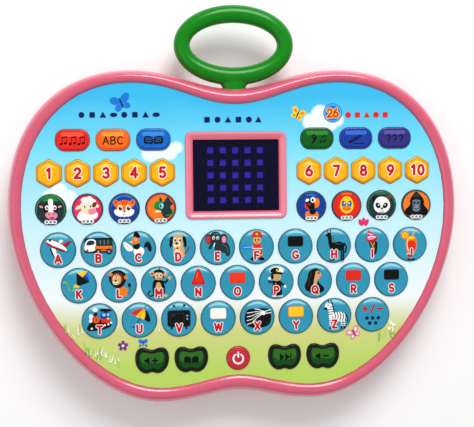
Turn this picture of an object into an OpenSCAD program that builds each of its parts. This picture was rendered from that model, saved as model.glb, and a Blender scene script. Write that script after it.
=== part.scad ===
// Apple-shaped learning tablet: a two-part shell round a lit dot screen and 56 sprung keys,
// with a ring handle, a speaker and a three-cell battery bay in the back.
// It lies on its flat back: +X to the right, +Y towards the handle, +Z out of the face.
// The origin is below the middle of its bounding box, on the surface that it lies on.

/* [Body] */
// Width of the body, side to side
body_w = 240; // [230:1:300]
// Height of the body, from its lower lobes to its upper lobes
body_h = 177; // [172:1:220]
// Height of the line where the two shells meet
parting_z = 14; // [13:0.5:16]
// Wall of the shells
wall = 2.2; // [1.8:0.1:3]
// Depth of the hollow between the two upper lobes
top_notch = 9.7; // [4:0.1:14]
// Depth of the hollow between the two lower lobes
low_notch = 5.3; // [2:0.1:10]
// How far in from the widest outline the rim's crest lies
crest_in = 5; // [4:0.1:6.5]
// How far in from the widest outline the flat back starts
back_in = 6; // [3:0.1:9]
// Room left between the battery bay and the circuit board
board_room = 0.3; // [0.2:0.1:3]
// Depth of the face panel below the rim's crest
panel_drop = 2.2; // [1.6:0.1:3]
// Width of the rim at the two sides
rim_side = 8.1; // [7.5:0.1:10]

/* [Face] */
// Thickness of the front shell under the printed panel
deck_t = 2; // [1.6:0.1:3]
// Thickness of the printed panel
overlay_t = 0.4; // [0.3:0.1:0.8]
// Width of the screen's frame
screen_w = 53.2; // [46:0.1:56]
// Height of the screen's frame
screen_h = 45.4; // [38:0.1:48]
// Width of the frame's sloping border
bezel_w = 3.9; // [3:0.1:5]
// How far the screen's frame stands above the printed panel
bezel_proud = 1; // [0.6:0.1:1.6]
// Distance between neighbouring lights of the dot screen
led_pitch = 6.6; // [5.4:0.1:6.8]

/* [Keys] */
// Travel of a key
key_travel = 0.8; // [0.5:0.05:1]
// How far a key stands above the printed panel
key_proud = 0.9; // [0.6:0.05:1.2]
// Gap all round a key in its hole
key_gap = 0.2; // [0.2:0.05:0.4]
// Diameter of a letter key
letter_d = 18.2; // [15:0.1:18.6]
// Distance between neighbouring letter keys
letter_pitch = 20.7; // [20.6:0.1:21.2]
// Distance between the rows of letter keys
letter_row = 18.7; // [18.4:0.1:19.2]
// Diameter of an animal key
animal_d = 15.8; // [13:0.1:16.6]
// Width of a number key across its flats
number_w = 12.8; // [11:0.1:13.8]
// Width of a mode key
mode_w = 17.5; // [15:0.1:18.8]
// Height of a mode key
mode_h = 11.1; // [9:0.1:12]
// Width of an apple key
apple_w = 17.4; // [14:0.1:17.8]
// Height of an apple key
apple_h = 13.2; // [11:0.1:13.6]
// Diameter of the power key
power_d = 12.3; // [10:0.1:13]

/* [Handle] */
// How far the ring handle reaches above the upper lobes
handle_rise = 34.3; // [33:0.1:46]
// Width of the ring handle
handle_w = 64; // [56:0.5:80]
// Height of the ring handle
handle_h = 42.5; // [38:0.5:50]
// Depth of the ring's bar, front to back
handle_bar_t = 9; // [7:0.1:10]
// Diameter of the neck that joins the ring to the body
neck_d = 9; // [7:0.1:10]

/* [Battery bay and speaker] */
// Diameter of a cell
cell_d = 14.5; // [14.2:0.1:14.8]
// Length of a cell without its button
cell_l = 49.5; // [49:0.1:50.5]
// Diameter of the speaker
speaker_d = 40; // [30:0.5:44]
// Depth of the speaker
speaker_t = 10; // [7:0.5:12]
// Thickness of the battery door
door_t = 2; // [1.8:0.1:2.4]

/* [Hidden] */
$fn = 48;
// Overlap of solids that merge, and reach of a cut past the face it opens
EPS = 0.01;
CUT = 1;

// ---- Heights, from the flat back upwards ----
door_sink = 0.3;
cell_gap = 0.35;
ceiling_gap = 0.25;
bay_wall = 1.5;
cell_z = door_sink + door_t + cell_gap + cell_d / 2;
bay_ceiling = cell_z + cell_d / 2 + ceiling_gap;
board_t = 1.6;
board_low = bay_ceiling + bay_wall + board_room;
board_top = board_low + board_t;
mat_t = 0.8;
mat_sheet_t = 0.4;
dome_gap = 0.2;
flange_w = 0.9;
flange_t = 1.1;
flange_low = board_top + mat_t + dome_gap + key_travel;
key_play = 0.1;
deck_low = flange_low + flange_t + key_play;
deck_top = deck_low + deck_t;
overlay_top = deck_top + overlay_t;
key_top = overlay_top + key_proud;
// Height of the rim's crest: the thickness of the whole body
body_t = deck_top + panel_drop;

// ---- Plan positions ----
y_low = -(body_h + handle_rise) / 2;
y_high = y_low + body_h;
mid_y = y_low + body_h / 2;
upper_lobe_x = 55;
lower_lobe_x = 40;
side_y = y_low + 103.6;
screen_y = mid_y + 32.4;
mode_y = mid_y + 51.4;
number_y = mid_y + 34.3;
animal_y = mid_y + 15.6;
letter_y = mid_y - 5.5;
apple_y = mid_y - 64.4;
mode_x = 64;
number_x = 67.9;
animal_x = 68.2;
mode_pitch = 20.9;
number_pitch = 14.6;
animal_pitch = 18.9;
apple_inner_x = 24.8;
apple_outer_x = 45.4;

// ---- Outlines of the body and of its panel ----
// Reach of the curve's handles, leaving and arriving, for each quarter of half the outline
BODY_REACH = [[20, 25], [40, 45], [44, 42], [16, 12]];
PANEL_REACH = [[19, 24], [33, 40], [46, 35], [16, 12]];
// Width of the rim at the upper hollow, upper lobe, side, lower lobe and lower hollow
RIM = [8.9, 7.3, rim_side, 9.1, 9.9];
NO_RIM = [0, 0, 0, 0, 0];
STEPS = 14;

function bezier(a, b, c, d, t) =
    pow(1 - t, 3) * a + 3 * pow(1 - t, 2) * t * b + 3 * (1 - t) * t * t * c + pow(t, 3) * d;

// The five places where half the outline runs straight across or straight up
function knots(rim) = [
    [0, y_high - top_notch - rim[0]],
    [upper_lobe_x, y_high - rim[1]],
    [body_w / 2 - rim[2], side_y],
    [lower_lobe_x, y_low + rim[3]],
    [0, y_low + low_notch + rim[4]]
];
// Directions of travel at those places, clockwise from the top
RUNS = [[1, 0], [1, 0], [0, -1], [-1, 0], [-1, 0]];

function half_outline(p, reach) = [
    for (q = [0:3], i = [0:STEPS - 1])
        bezier(
            p[q],
            p[q] + RUNS[q] * reach[q][0],
            p[q + 1] - RUNS[q + 1] * reach[q][1],
            p[q + 1],
            i / STEPS
        )
];
function mirrored(half, last) = concat(
    half,
    [last],
    [for (i = [len(half) - 1:-1:1]) [-half[i][0], half[i][1]]]
);
function outline(rim, reach) = mirrored(half_outline(knots(rim), reach), knots(rim)[4]);

// Points moved inwards by d along the outline's own normals
function inward(pts, i) =
    let (
        n = len(pts),
        along = pts[(i + 1) % n] - pts[(i + n - 1) % n]
    )
    [along[1], -along[0]] / norm(along);
function inset(pts, d) = [for (i = [0:len(pts) - 1]) pts[i] + d * inward(pts, i)];

BODY = outline(NO_RIM, BODY_REACH);
PANEL = outline(RIM, PANEL_REACH);

// Closed skin through a stack of [inset, height] layers, with its two ends filled from the middle
function ring3(pts, layer) = [for (p = inset(pts, layer[0])) [p[0], p[1], layer[1]]];
module skin(pts, layers) {
    n = len(pts);
    m = len(layers);
    rings = [for (layer = layers) each ring3(pts, layer)];
    low = [0, mid_y, layers[0][1]];
    high = [0, mid_y, layers[m - 1][1]];
    sides = [
        for (k = [0:m - 2], i = [0:n - 1])
            let (a = k * n + i, b = k * n + (i + 1) % n)
            each [[a, b + n, a + n], [a, b, b + n]]
    ];
    low_cap = [for (i = [0:n - 1]) [n * m, (i + 1) % n, i]];
    high_cap = [for (i = [0:n - 1]) [n * m + 1, (m - 1) * n + i, (m - 1) * n + (i + 1) % n]];
    polyhedron(points = concat(rings, [low, high]), faces = concat(sides, low_cap, high_cap));
}

module slab(pts, low, high) {
    translate([0, 0, low])
        linear_extrude(high - low)
            polygon(pts);
}

// ---- Plain shapes ----
module rounded_2d(w, h, r) {
    square([w - 2 * r, h], center = true);
    square([w, h - 2 * r], center = true);
    for (sx = [-1, 1], sy = [-1, 1])
        translate([sx * (w / 2 - r), sy * (h / 2 - r)])
            circle(r);
}

module rounded_slab(w, h, r, low, high) {
    translate([0, 0, low])
        linear_extrude(high - low)
            rounded_2d(w, h, r);
}

module rod(r, low, high) {
    translate([0, 0, low])
        cylinder(r = r, h = high - low);
}

// Tube swept along a route, for the wires
function frame_at(route, i) =
    let (
        n = len(route),
        along = route[min(i + 1, n - 1)] - route[max(i - 1, 0)],
        t = along / norm(along),
        up = abs(t[2]) > 0.9 ? [0, 1, 0] : [0, 0, 1],
        side = cross(t, up) / norm(cross(t, up))
    )
    [side, cross(side, t)];
module wire(route, r, sides = 8) {
    n = len(route);
    pts = [
        for (i = [0:n - 1], k = [0:sides - 1])
            let (f = frame_at(route, i), a = 360 * k / sides)
            route[i] + r * cos(a) * f[0] + r * sin(a) * f[1]
    ];
    walls = [
        for (i = [0:n - 2], k = [0:sides - 1])
            let (a = i * sides + k, b = i * sides + (k + 1) % sides)
            each [[a, b, b + sides], [a, b + sides, a + sides]]
    ];
    first = [[for (k = [sides - 1:-1:0]) k]];
    last = [[for (k = [0:sides - 1]) (n - 1) * sides + k]];
    polyhedron(points = pts, faces = concat(walls, first, last));
}
function smooth(a, b, c, d, n = 14) = [for (i = [0:n]) bezier(a, b, c, d, i / n)];

// ---- Keys ----
// Outline of an apple key, by the same curves as the body
APPLE_REACH = [[0.12, 0.12], [0.13, 0.22], [0.26, 0.16], [0.08, 0.06]];
function apple_knots(w, h) = [
    [0, h * 0.41],
    [w * 0.28, h / 2],
    [w / 2, h * 0.07],
    [w * 0.17, -h / 2],
    [0, -h * 0.45]
];
function apple_points(w, h) =
    let (p = apple_knots(w, h), reach = APPLE_REACH * w)
    mirrored(
        [
            for (q = [0:3], i = [0:5])
                bezier(
                    p[q],
                    p[q] + RUNS[q] * reach[q][0],
                    p[q + 1] - RUNS[q + 1] * reach[q][1],
                    p[q + 1],
                    i / 6
                )
        ],
        p[4]
    );

mode_corner = 5;
hex_corner = 2;
hex_corner_steps = 3;
// Hexagon with a point at the top and rounded corners
function hex_points(w, corner) = [
    for (k = [0:5], j = [0:hex_corner_steps])
        let (
            reach = (w / 2 - corner) / cos(30),
            middle = 90 + 60 * k,
            a = middle - 30 + 60 * j / hex_corner_steps
        )
        [
            reach * cos(middle) + corner * cos(a),
            reach * sin(middle) + corner * sin(a)
        ]
];

// Outline of a key of each kind, grown by d
module key_2d(kind, d = 0) {
    if (kind == "letter")
        circle(letter_d / 2 + d);
    if (kind == "animal")
        circle(animal_d / 2 + d);
    if (kind == "power")
        circle(power_d / 2 + d);
    if (kind == "mode")
        rounded_2d(mode_w + 2 * d, mode_h + 2 * d, mode_corner + d);
    if (kind == "number")
        polygon(hex_points(number_w + 2 * d, hex_corner + max(d, 0)));
    if (kind == "apple")
        polygon(inset(apple_points(apple_w, apple_h), -d));
}

shoulder = 0.3;
cap_t = 1.4;
key_wall = 1.2;
plunger_r = 2;
web_w = 5;
web_t = 0.6;

module key_outside(kind) {
    translate([0, 0, flange_low])
        linear_extrude(flange_t)
            key_2d(kind, flange_w);
    translate([0, 0, flange_low])
        linear_extrude(key_top - shoulder - flange_low)
            key_2d(kind);
    translate([0, 0, flange_low])
        linear_extrude(key_top - flange_low)
            key_2d(kind, -shoulder);
}
module key_hollow(kind) {
    translate([0, 0, flange_low - EPS])
        linear_extrude(key_top - cap_t - flange_low + EPS)
            key_2d(kind, -key_wall);
}
module plunger() {
    rod(plunger_r, flange_low, key_top - cap_t + EPS);
}

// One key on its own
module single_key(kind, x, y) {
    translate([x, y, 0]) {
        difference() {
            key_outside(kind);
            key_hollow(kind);
        }
        plunger();
    }
}

// Keys in a row, moulded as one piece with a thin web between their flanges
module key_strip(kind, x, y, pitch, count) {
    places = [for (i = [0:count - 1]) x + (i - (count - 1) / 2) * pitch];
    difference() {
        union() {
            for (px = places)
                translate([px, y, 0])
                    key_outside(kind);
            translate([places[0], y - web_w / 2, flange_low])
                cube([places[count - 1] - places[0], web_w, web_t]);
        }
        for (px = places)
            translate([px, y, 0])
                key_hollow(kind);
    }
    for (px = places)
        translate([px, y, 0])
            plunger();
}

// [node name, kind, x, y] of every key that stands alone
LETTER_ROWS = [
    ["a", "b", "c", "d", "e", "f", "g", "h", "i", "j"],
    ["k", "l", "m", "n", "o", "p", "q", "r", "s"],
    ["t", "u", "v", "w", "x", "y", "z", "plus_minus"]
];
LETTERS = [
    for (r = [0:2], i = [0:len(LETTER_ROWS[r]) - 1])
        [
            str("key_", LETTER_ROWS[r][i]),
            "letter",
            (i - (len(LETTER_ROWS[r]) - 1) / 2) * letter_pitch,
            letter_y - r * letter_row
        ]
];
MODES = [
    ["key_music", "mode", -mode_x - mode_pitch, mode_y],
    ["key_letter", "mode", -mode_x, mode_y],
    ["key_word", "mode", -mode_x + mode_pitch, mode_y],
    ["key_singing", "mode", mode_x - mode_pitch, mode_y],
    ["key_spell", "mode", mode_x, mode_y],
    ["key_asking", "mode", mode_x + mode_pitch, mode_y]
];
LOWER = [
    ["key_volume_up", "apple", -apple_outer_x, apple_y],
    ["key_story", "apple", -apple_inner_x, apple_y],
    ["key_power", "power", 0, apple_y],
    ["key_next", "apple", apple_inner_x, apple_y],
    ["key_volume_down", "apple", apple_outer_x, apple_y]
];
SINGLES = concat(MODES, LETTERS, LOWER);

// [node name, kind, x, y, pitch, count] of every strip of keys
STRIPS = [
    ["numbers_left", "number", -number_x, number_y, number_pitch, 5],
    ["numbers_right", "number", number_x, number_y, number_pitch, 5],
    ["animals_left", "animal", -animal_x, animal_y, animal_pitch, 4],
    ["animals_right", "animal", animal_x, animal_y, animal_pitch, 4]
];
// [kind, x, y] of every key cap on the face
CAPS = concat(
    [for (k = SINGLES) [k[1], k[2], k[3]]],
    [for (s = STRIPS, i = [0:s[5] - 1]) [s[1], s[2] + (i - (s[5] - 1) / 2) * s[4], s[3]]]
);
function key_colour(name) =
    name == "key_music" ? "red" :
    name == "key_letter" ? "orangered" :
    name == "key_word" ? "royalblue" :
    name == "key_singing" ? "darkgreen" :
    name == "key_spell" ? "navy" :
    name == "key_asking" ? "darkslateblue" :
    name == "key_power" ? "crimson" :
    search([name], LETTERS)[0] == [] ? "green" : "darkturquoise";

// ---- Fasteners: [x, y] places, above or below the middle of the body ----
boss_r = 3.5;
boss_pilot_r = 1.35;
boss_gap = 0.8;
screw_r = 1.3;
screw_head_r = 2.8;
screw_head_t = 2.2;
screw_seat_z = 5.5;
screw_l = 14;
head_bore_r = 3.3;
shank_bore_r = 1.7;
foot_boss_x = 9;
foot_y = y_high - top_notch - 9.7;
SHELL_SCREWS = [
    [58, mid_y + 68.6],
    [107, mid_y + 25.2],
    [70, mid_y - 58.9],
    [foot_boss_x, foot_y]
];
post_r = 2.3;
post_pilot_r = 0.95;
post_gap = 0.4;
board_screw_r = 0.9;
board_head_r = 1.9;
board_head_t = 1.1;
board_screw_l = 4.4;
BOARD_SCREWS = [[22, mid_y + 64.1], [28, mid_y + 25.2], [59, mid_y - 61]];

module both_sides(places) {
    for (p = places, s = [-1, 1])
        translate([s * p[0], p[1], 0])
            children();
}

cross_w = 0.7;
cross_share = 0.6;
module screw(r, head_r, head_t, seat, length) {
    difference() {
        union() {
            rod(head_r, seat - head_t, seat);
            rod(r, seat - EPS, seat + length);
        }
        for (a = [0, 90])
            rotate(a)
                translate([-head_r * cross_share, -cross_w / 2, seat - head_t - EPS])
                    cube([2 * head_r * cross_share, cross_w, head_t * cross_share]);
    }
}

// ---- Front shell ----
ROUND_STEPS = 5;
step_z = 19;
step_in = 3.6;
CREST = [
    for (i = [0:ROUND_STEPS])
        let (a = 90 * i / ROUND_STEPS)
        [crest_in * (1 - cos(a)), parting_z + (body_t - parting_z) * sin(a)]
];
neck_gap = 0.15;
handle_z = parting_z + 5;
screen_corner = 3.2;
window_w = screen_w - 2 * bezel_w;
window_h = screen_h - 2 * bezel_w;
window_corner = 0.6;
window_lip = 1.5;
window_t = 1.2;
window_gap = 0.15;
post_over_mat = 0.05;

// The neck's slot: round at the top and open down to the parting line, where the rear shell shuts it
module neck_slot() {
    slot_d = neck_d + 2 * neck_gap;
    slot_l = top_notch + foot_l;
    translate([0, foot_y + foot_l / 2, handle_z]) {
        rotate([-90, 0, 0])
            cylinder(d = slot_d, h = slot_l);
        translate([-slot_d / 2, 0, parting_z + EPS - handle_z])
            cube([slot_d, slot_l, handle_z - parting_z]);
    }
}

module screen_frame() {
    translate([0, screen_y, 0])
        rounded_slab(screen_w, screen_h, screen_corner, deck_low, overlay_top + bezel_proud);
}
module screen_opening() {
    translate([0, screen_y, 0]) {
        rounded_slab(window_w, window_h, window_corner, deck_low - EPS, body_t);
        rounded_slab(
            window_w + 2 * (window_lip + window_gap),
            window_h + 2 * (window_lip + window_gap),
            window_corner + window_gap,
            deck_low - EPS,
            deck_low + window_t
        );
    }
}

module front_shell() {
    color("palevioletred") {
        difference() {
            union() {
                difference() {
                    skin(BODY, CREST);
                    slab(PANEL, deck_top, body_t + CUT);
                    slab(inset(BODY, wall), parting_z - CUT, step_z);
                    slab(inset(BODY, step_in), step_z - EPS, deck_low);
                }
                screen_frame();
                both_sides(SHELL_SCREWS)
                    rod(boss_r, parting_z + EPS, deck_low + EPS);
                both_sides(BOARD_SCREWS)
                    rod(post_r, board_top + post_over_mat, deck_low + EPS);
            }
            screen_opening();
            neck_slot();
            for (c = CAPS)
                translate([c[1], c[2], deck_low - EPS])
                    linear_extrude(deck_t + 2 * EPS)
                        key_2d(c[0], key_gap);
            both_sides(SHELL_SCREWS)
                rod(boss_pilot_r, parting_z - EPS, deck_low - CUT);
            both_sides(BOARD_SCREWS)
                rod(post_pilot_r, board_top, deck_low);
        }
    }
}

// ---- Printed panel, screen and lights ----
panel_gap = 0.15;
overlay_step = 0.05;
module face_overlay() {
    color("skyblue")
        difference() {
            slab(inset(PANEL, panel_gap), deck_top, overlay_top);
            for (c = CAPS)
                translate([c[1], c[2], deck_top - EPS])
                    linear_extrude(overlay_t + 2 * EPS)
                        key_2d(c[0], key_gap + overlay_step);
            translate([0, screen_y, 0])
                rounded_slab(
                    screen_w + 2 * panel_gap,
                    screen_h + 2 * panel_gap,
                    screen_corner + panel_gap,
                    deck_top - EPS,
                    overlay_top + EPS
                );
        }
}

module screen_window() {
    color([0.05, 0.04, 0.12])
        translate([0, screen_y, 0])
            rounded_slab(
                window_w + 2 * window_lip,
                window_h + 2 * window_lip,
                window_corner,
                deck_low,
                deck_low + window_t
            );
}

led_w = 3;
led_t = 1;
led_well = 4.2;
mask_gap = 0.1;
mask_in = 0.6;
LED_PLACES = [for (i = [-2:2], j = [-2:2]) [i * led_pitch, screen_y + j * led_pitch]];
module led_mask() {
    color([0.05, 0.05, 0.06])
        difference() {
            translate([0, screen_y, 0])
                rounded_slab(
                    window_w - 2 * mask_in,
                    window_h - 2 * mask_in,
                    window_corner,
                    board_top,
                    deck_low - mask_gap
                );
            for (p = LED_PLACES)
                translate([p[0] - led_well / 2, p[1] - led_well / 2, board_top - EPS])
                    cube([led_well, led_well, deck_low - board_top]);
        }
}

module leds() {
    color([0.4, 0.3, 0.95])
        for (p = LED_PLACES)
            translate([p[0] - led_w / 2, p[1] - led_w / 2, board_top])
                cube([led_w, led_w, led_t]);
}

// ---- Circuit board, key mat and chip ----
thread_room = 0.25;
board_in = 5;
mat_in = 5.6;
module board_openings(low, high) {
    both_sides(SHELL_SCREWS)
        rod(boss_r + boss_gap, low - EPS, high + EPS);
}
module circuit_board() {
    color("tan")
        difference() {
            slab(inset(PANEL, board_in), board_low, board_top);
            board_openings(board_low, board_top);
            both_sides(BOARD_SCREWS)
                rod(board_screw_r + thread_room, board_low - EPS, board_top + EPS);
        }
}

dome_low_r = 2.7;
dome_high_r = 2.1;
module key_mat() {
    color("gainsboro") {
        difference() {
            slab(inset(PANEL, mat_in), board_top, board_top + mat_sheet_t);
            board_openings(board_top, board_top + mat_sheet_t);
            both_sides(BOARD_SCREWS)
                rod(post_r + post_gap, board_top - EPS, board_top + mat_sheet_t + EPS);
            translate([0, screen_y, 0])
                rounded_slab(
                    window_w - 2 * mask_in + 2 * post_gap,
                    window_h - 2 * mask_in + 2 * post_gap,
                    window_corner + post_gap,
                    board_top - EPS,
                    board_top + mat_sheet_t + EPS
                );
        }
        for (c = CAPS)
            translate([c[1], c[2], board_top + mat_sheet_t - EPS])
                cylinder(r1 = dome_low_r, r2 = dome_high_r, h = mat_t - mat_sheet_t + EPS);
    }
}

chip_r = 8;
chip_low_r = 4.8;
chip_t = 1.8;
chip_x = 62;
chip_y = mid_y + 10;
module control_chip() {
    color([0.06, 0.06, 0.06])
        translate([chip_x, chip_y, board_low - chip_t])
            cylinder(r1 = chip_low_r, r2 = chip_r, h = chip_t);
}

// ---- Rear shell ----
back_round_h = 8;
floor_t = wall;
BACK = [
    for (i = [0:ROUND_STEPS])
        let (a = 90 * i / ROUND_STEPS)
        [back_in * (1 - sin(a)), back_round_h * (1 - cos(a))]
];
rear_in = back_in + 0.6;
seat_wall = 1.5;
seat_t = 1.7;
lip_merge = 0.2;
lip_gap = 0.15;
lip_t = 1;
lip_rise = 1.6;
lip_foot = 3;

bay_y = mid_y - 13;
cell_pitch = cell_d + 0.5;
contact_l = 3.2;
bay_room = 1;
bay_w = cell_l + bay_room + 2 * contact_l;
bay_h = 3 * cell_pitch + bay_room;
bay_corner = 0.6;
door_gap = 0.4;
door_rest = 0.1;
door_depth = door_sink + door_t + door_rest;
ledge_t = 1.6;
ledge_w = 3;
door_screw_x = bay_w / 2 + 8.6;
door_end_w = 4.5;
door_w = 2 * (door_screw_x + door_end_w);
door_h = bay_h + 2 * ledge_w;
door_corner = 4;

door_screw_r = 1.2;
door_pilot_gap = 0.05;
door_head_r = 2.4;
door_head_t = 1.8;
head_room = 0.2;
door_pad_r = 3.6;
door_seat_z = door_sink + 2.6;
door_pad_top = door_seat_z + seat_t;
door_boss_r = 5.4;
door_boss_top = 10;
door_boss_end = 0.8;
door_screw_l = 5.7;

speaker_x = -76;
speaker_y = mid_y + 8;
speaker_ring_t = 1.5;
speaker_ring_h = 4;
inside_z = 1;
speaker_gap = 0.3;
grille_r = 1.25;
grille_pitch = 4.6;
grille_rings = 3;

module speaker_grille() {
    for (ring = [0:grille_rings])
        let (count = ring == 0 ? 1 : 6 * ring)
        for (k = [0:count - 1])
            rotate(360 * k / count)
                translate([ring * grille_pitch, 0, -EPS])
                    cylinder(r = grille_r, h = floor_t + 2 * EPS, $fn = 24);
}

module rear_bosses() {
    both_sides(SHELL_SCREWS) {
        rod(head_bore_r + seat_wall, floor_t - EPS, screw_seat_z + seat_t);
        rod(boss_r, screw_seat_z, parting_z - EPS);
    }
}

module bay_outside() {
    translate([0, bay_y, 0]) {
        rounded_slab(
            door_w + 2 * bay_wall,
            door_h + 2 * bay_wall,
            door_corner + bay_wall,
            EPS,
            door_depth + ledge_t
        );
        rounded_slab(
            bay_w + 2 * bay_wall,
            bay_h + 2 * bay_wall,
            bay_corner + bay_wall,
            inside_z,
            bay_ceiling + bay_wall
        );
        for (s = [-1, 1])
            translate([s * door_screw_x, 0, 0])
                rod(door_boss_r, inside_z, door_boss_top);
    }
}
tab_z = 12;
tab_w = 3;
tab_t = 0.4;
tab_gap = 0.2;
tab_reach = 2;
module bay_inside() {
    translate([0, bay_y, 0]) {
        rounded_slab(
            door_w + 2 * door_gap,
            door_h + 2 * door_gap,
            door_corner + door_gap,
            -CUT,
            door_depth
        );
        rounded_slab(bay_w, bay_h, bay_corner, -CUT, bay_ceiling);
        for (s = [-1, 1])
            translate([s * door_screw_x, 0, 0]) {
                rod(door_pad_r + door_gap, 0, door_pad_top + door_gap);
                rod(door_screw_r + door_pilot_gap, 0, door_boss_top - door_boss_end);
            }
        for (s = [-1, 1])
            translate([-bay_w / 2 - bay_wall, s * cell_pitch, tab_z + tab_t / 2])
                cube([2 * bay_wall + CUT, tab_w + 2 * tab_gap, tab_t + 2 * tab_gap], center = true);
    }
}

module rear_shell() {
    color("palevioletred")
        difference() {
            union() {
                difference() {
                    skin(BODY, concat(BACK, [[0, parting_z]]));
                    slab(inset(BODY, rear_in), floor_t, back_round_h);
                    slab(inset(BODY, wall), back_round_h - EPS, parting_z + CUT);
                }
                difference() {
                    slab(inset(BODY, wall - lip_merge), parting_z - lip_foot, parting_z - EPS);
                    slab(inset(BODY, wall + lip_gap + lip_t), floor_t, parting_z + CUT);
                }
                difference() {
                    slab(inset(BODY, wall + lip_gap), parting_z - lip_foot, parting_z + lip_rise);
                    slab(inset(BODY, wall + lip_gap + lip_t), floor_t, body_t);
                }
                rear_bosses();
                bay_outside();
                translate([speaker_x, speaker_y, 0])
                    rod(
                        speaker_d / 2 + speaker_gap + speaker_ring_t,
                        inside_z,
                        floor_t + speaker_ring_h
                    );
            }
            bay_inside();
            neck_slot();
            both_sides(SHELL_SCREWS) {
                rod(head_bore_r, -EPS, screw_seat_z);
                rod(shank_bore_r, 0, parting_z + EPS);
            }
            translate([speaker_x, speaker_y, 0]) {
                rod(speaker_d / 2 + speaker_gap, floor_t, floor_t + speaker_ring_h + CUT);
                speaker_grille();
            }
        }
}

// ---- Speaker: frame, cone and magnet turned as one piece ----
// Its section as shares of its diameter and depth: cone, rim, basket and magnet
SPEAKER_SECTION = [
    [0, 0.35], [0.16, 0.28], [0.42, 0.1], [0.45, 0], [0.5, 0],
    [0.5, 0.2], [0.32, 0.55], [0.32, 1], [0, 1]
];
module speaker() {
    color("dimgray")
        translate([speaker_x, speaker_y, floor_t])
            rotate_extrude()
                polygon([for (p = SPEAKER_SECTION) [p[0] * speaker_d, p[1] * speaker_t]]);
}

// ---- Battery bay ----
module along_cells() {
    for (k = [-1:1])
        translate([0, bay_y + k * cell_pitch, cell_z])
            rotate([0, k == 0 ? -90 : 90, 0])
                children();
}
button_r = 2.6;
button_l = 1;
module battery_cells() {
    color("darkseagreen")
        along_cells() {
            translate([0, 0, -cell_l / 2 - button_l / 2])
                cylinder(d = cell_d, h = cell_l);
            translate([0, 0, cell_l / 2 - button_l / 2 - EPS])
                cylinder(r = button_r, h = button_l + EPS);
        }
}

plate_t = 0.4;
plate_w = 10;
tab_low_x = -bay_w / 2 - bay_wall - tab_reach;
coil_r = 3.4;
coil_wire_r = 0.4;
coil_turns = 3;
plate_gap = 0.05;
module battery_contacts() {
    coil_room = contact_l - plate_t;
    color("silver") {
        along_cells() {
            translate([-plate_w / 2, -plate_w / 2, -bay_w / 2 + plate_gap])
                cube([plate_w, plate_w, plate_t]);
            for (t = [0:coil_turns - 1])
                translate([0, 0, -bay_w / 2 + plate_t + coil_room * (t + 0.5) / coil_turns])
                    rotate_extrude()
                        translate([coil_r, 0])
                            circle(r = coil_wire_r, $fn = 16);
            translate([-coil_wire_r, coil_r - coil_wire_r / 2, -bay_w / 2 + plate_t])
                cube([2 * coil_wire_r, coil_wire_r, coil_room - coil_wire_r]);
            translate([-plate_w / 2, -plate_w / 2, bay_w / 2 - plate_t - plate_gap])
                cube([plate_w, plate_w, plate_t]);
            translate([0, 0, bay_w / 2 - contact_l + plate_gap])
                cylinder(r = button_r, h = contact_l - plate_t);
        }
        for (s = [-1, 1])
            translate([tab_low_x, bay_y + s * cell_pitch - tab_w / 2, tab_z])
                cube([bay_wall + tab_reach + plate_t, tab_w, tab_t]);
    }
}

module battery_door() {
    color("palevioletred")
        translate([0, bay_y, 0])
            difference() {
                union() {
                    rounded_slab(door_w, door_h, door_corner, door_sink, door_sink + door_t);
                    for (s = [-1, 1])
                        translate([s * door_screw_x, 0, 0])
                            rod(door_pad_r, door_sink, door_pad_top);
                }
                for (s = [-1, 1])
                    translate([s * door_screw_x, 0, 0]) {
                        rod(door_head_r + head_room, 0, door_seat_z);
                        rod(door_screw_r + thread_room, 0, door_pad_top + CUT);
                    }
            }
}

module door_screws() {
    color("silver")
        for (s = [-1, 1])
            translate([s * door_screw_x, bay_y, 0])
                screw(
                    door_screw_r,
                    door_head_r,
                    door_head_t,
                    door_seat_z,
                    door_screw_l
                );
}

module shell_screws() {
    color("silver")
        both_sides(SHELL_SCREWS)
            screw(screw_r, screw_head_r, screw_head_t, screw_seat_z, screw_l);
}

module board_screws() {
    color("silver")
        both_sides(BOARD_SCREWS)
            screw(board_screw_r, board_head_r, board_head_t, board_low, board_screw_l);
}

// ---- Wires, each on a curve between two chosen ends ----
wire_r = 0.6;
lead_rise = 8;
lead_gap = 0.15;
bay_tab_x = -bay_w / 2 - bay_wall - tab_reach / 2;
WIRES = [
    smooth(
        [bay_tab_x, bay_y + cell_pitch, tab_z + tab_t + wire_r],
        [bay_tab_x - 10, bay_y + cell_pitch, tab_z + 1],
        [-46, bay_y + 22, board_low - lead_rise],
        [-46, bay_y + 22, board_low - lead_gap]
    ),
    smooth(
        [bay_tab_x, bay_y - cell_pitch, tab_z + tab_t + wire_r],
        [bay_tab_x - 12, bay_y - cell_pitch, tab_z + 1],
        [-50, bay_y - 22, board_low - lead_rise],
        [-50, bay_y - 22, board_low - lead_gap]
    ),
    smooth(
        [speaker_x + 4, speaker_y + 6, floor_t + speaker_t + lead_gap],
        [speaker_x + 4, speaker_y + 6, floor_t + speaker_t + lead_rise],
        [speaker_x + 26, speaker_y + 12, board_low - lead_rise],
        [speaker_x + 26, speaker_y + 12, board_low - lead_gap]
    ),
    smooth(
        [speaker_x - 4, speaker_y + 6, floor_t + speaker_t + lead_gap],
        [speaker_x - 4, speaker_y + 6, floor_t + speaker_t + lead_rise],
        [speaker_x + 22, speaker_y + 18, board_low - lead_rise],
        [speaker_x + 22, speaker_y + 18, board_low - lead_gap]
    )
];
module wiring() {
    color("crimson")
        for (route = WIRES)
            wire(route, wire_r);
}

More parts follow.
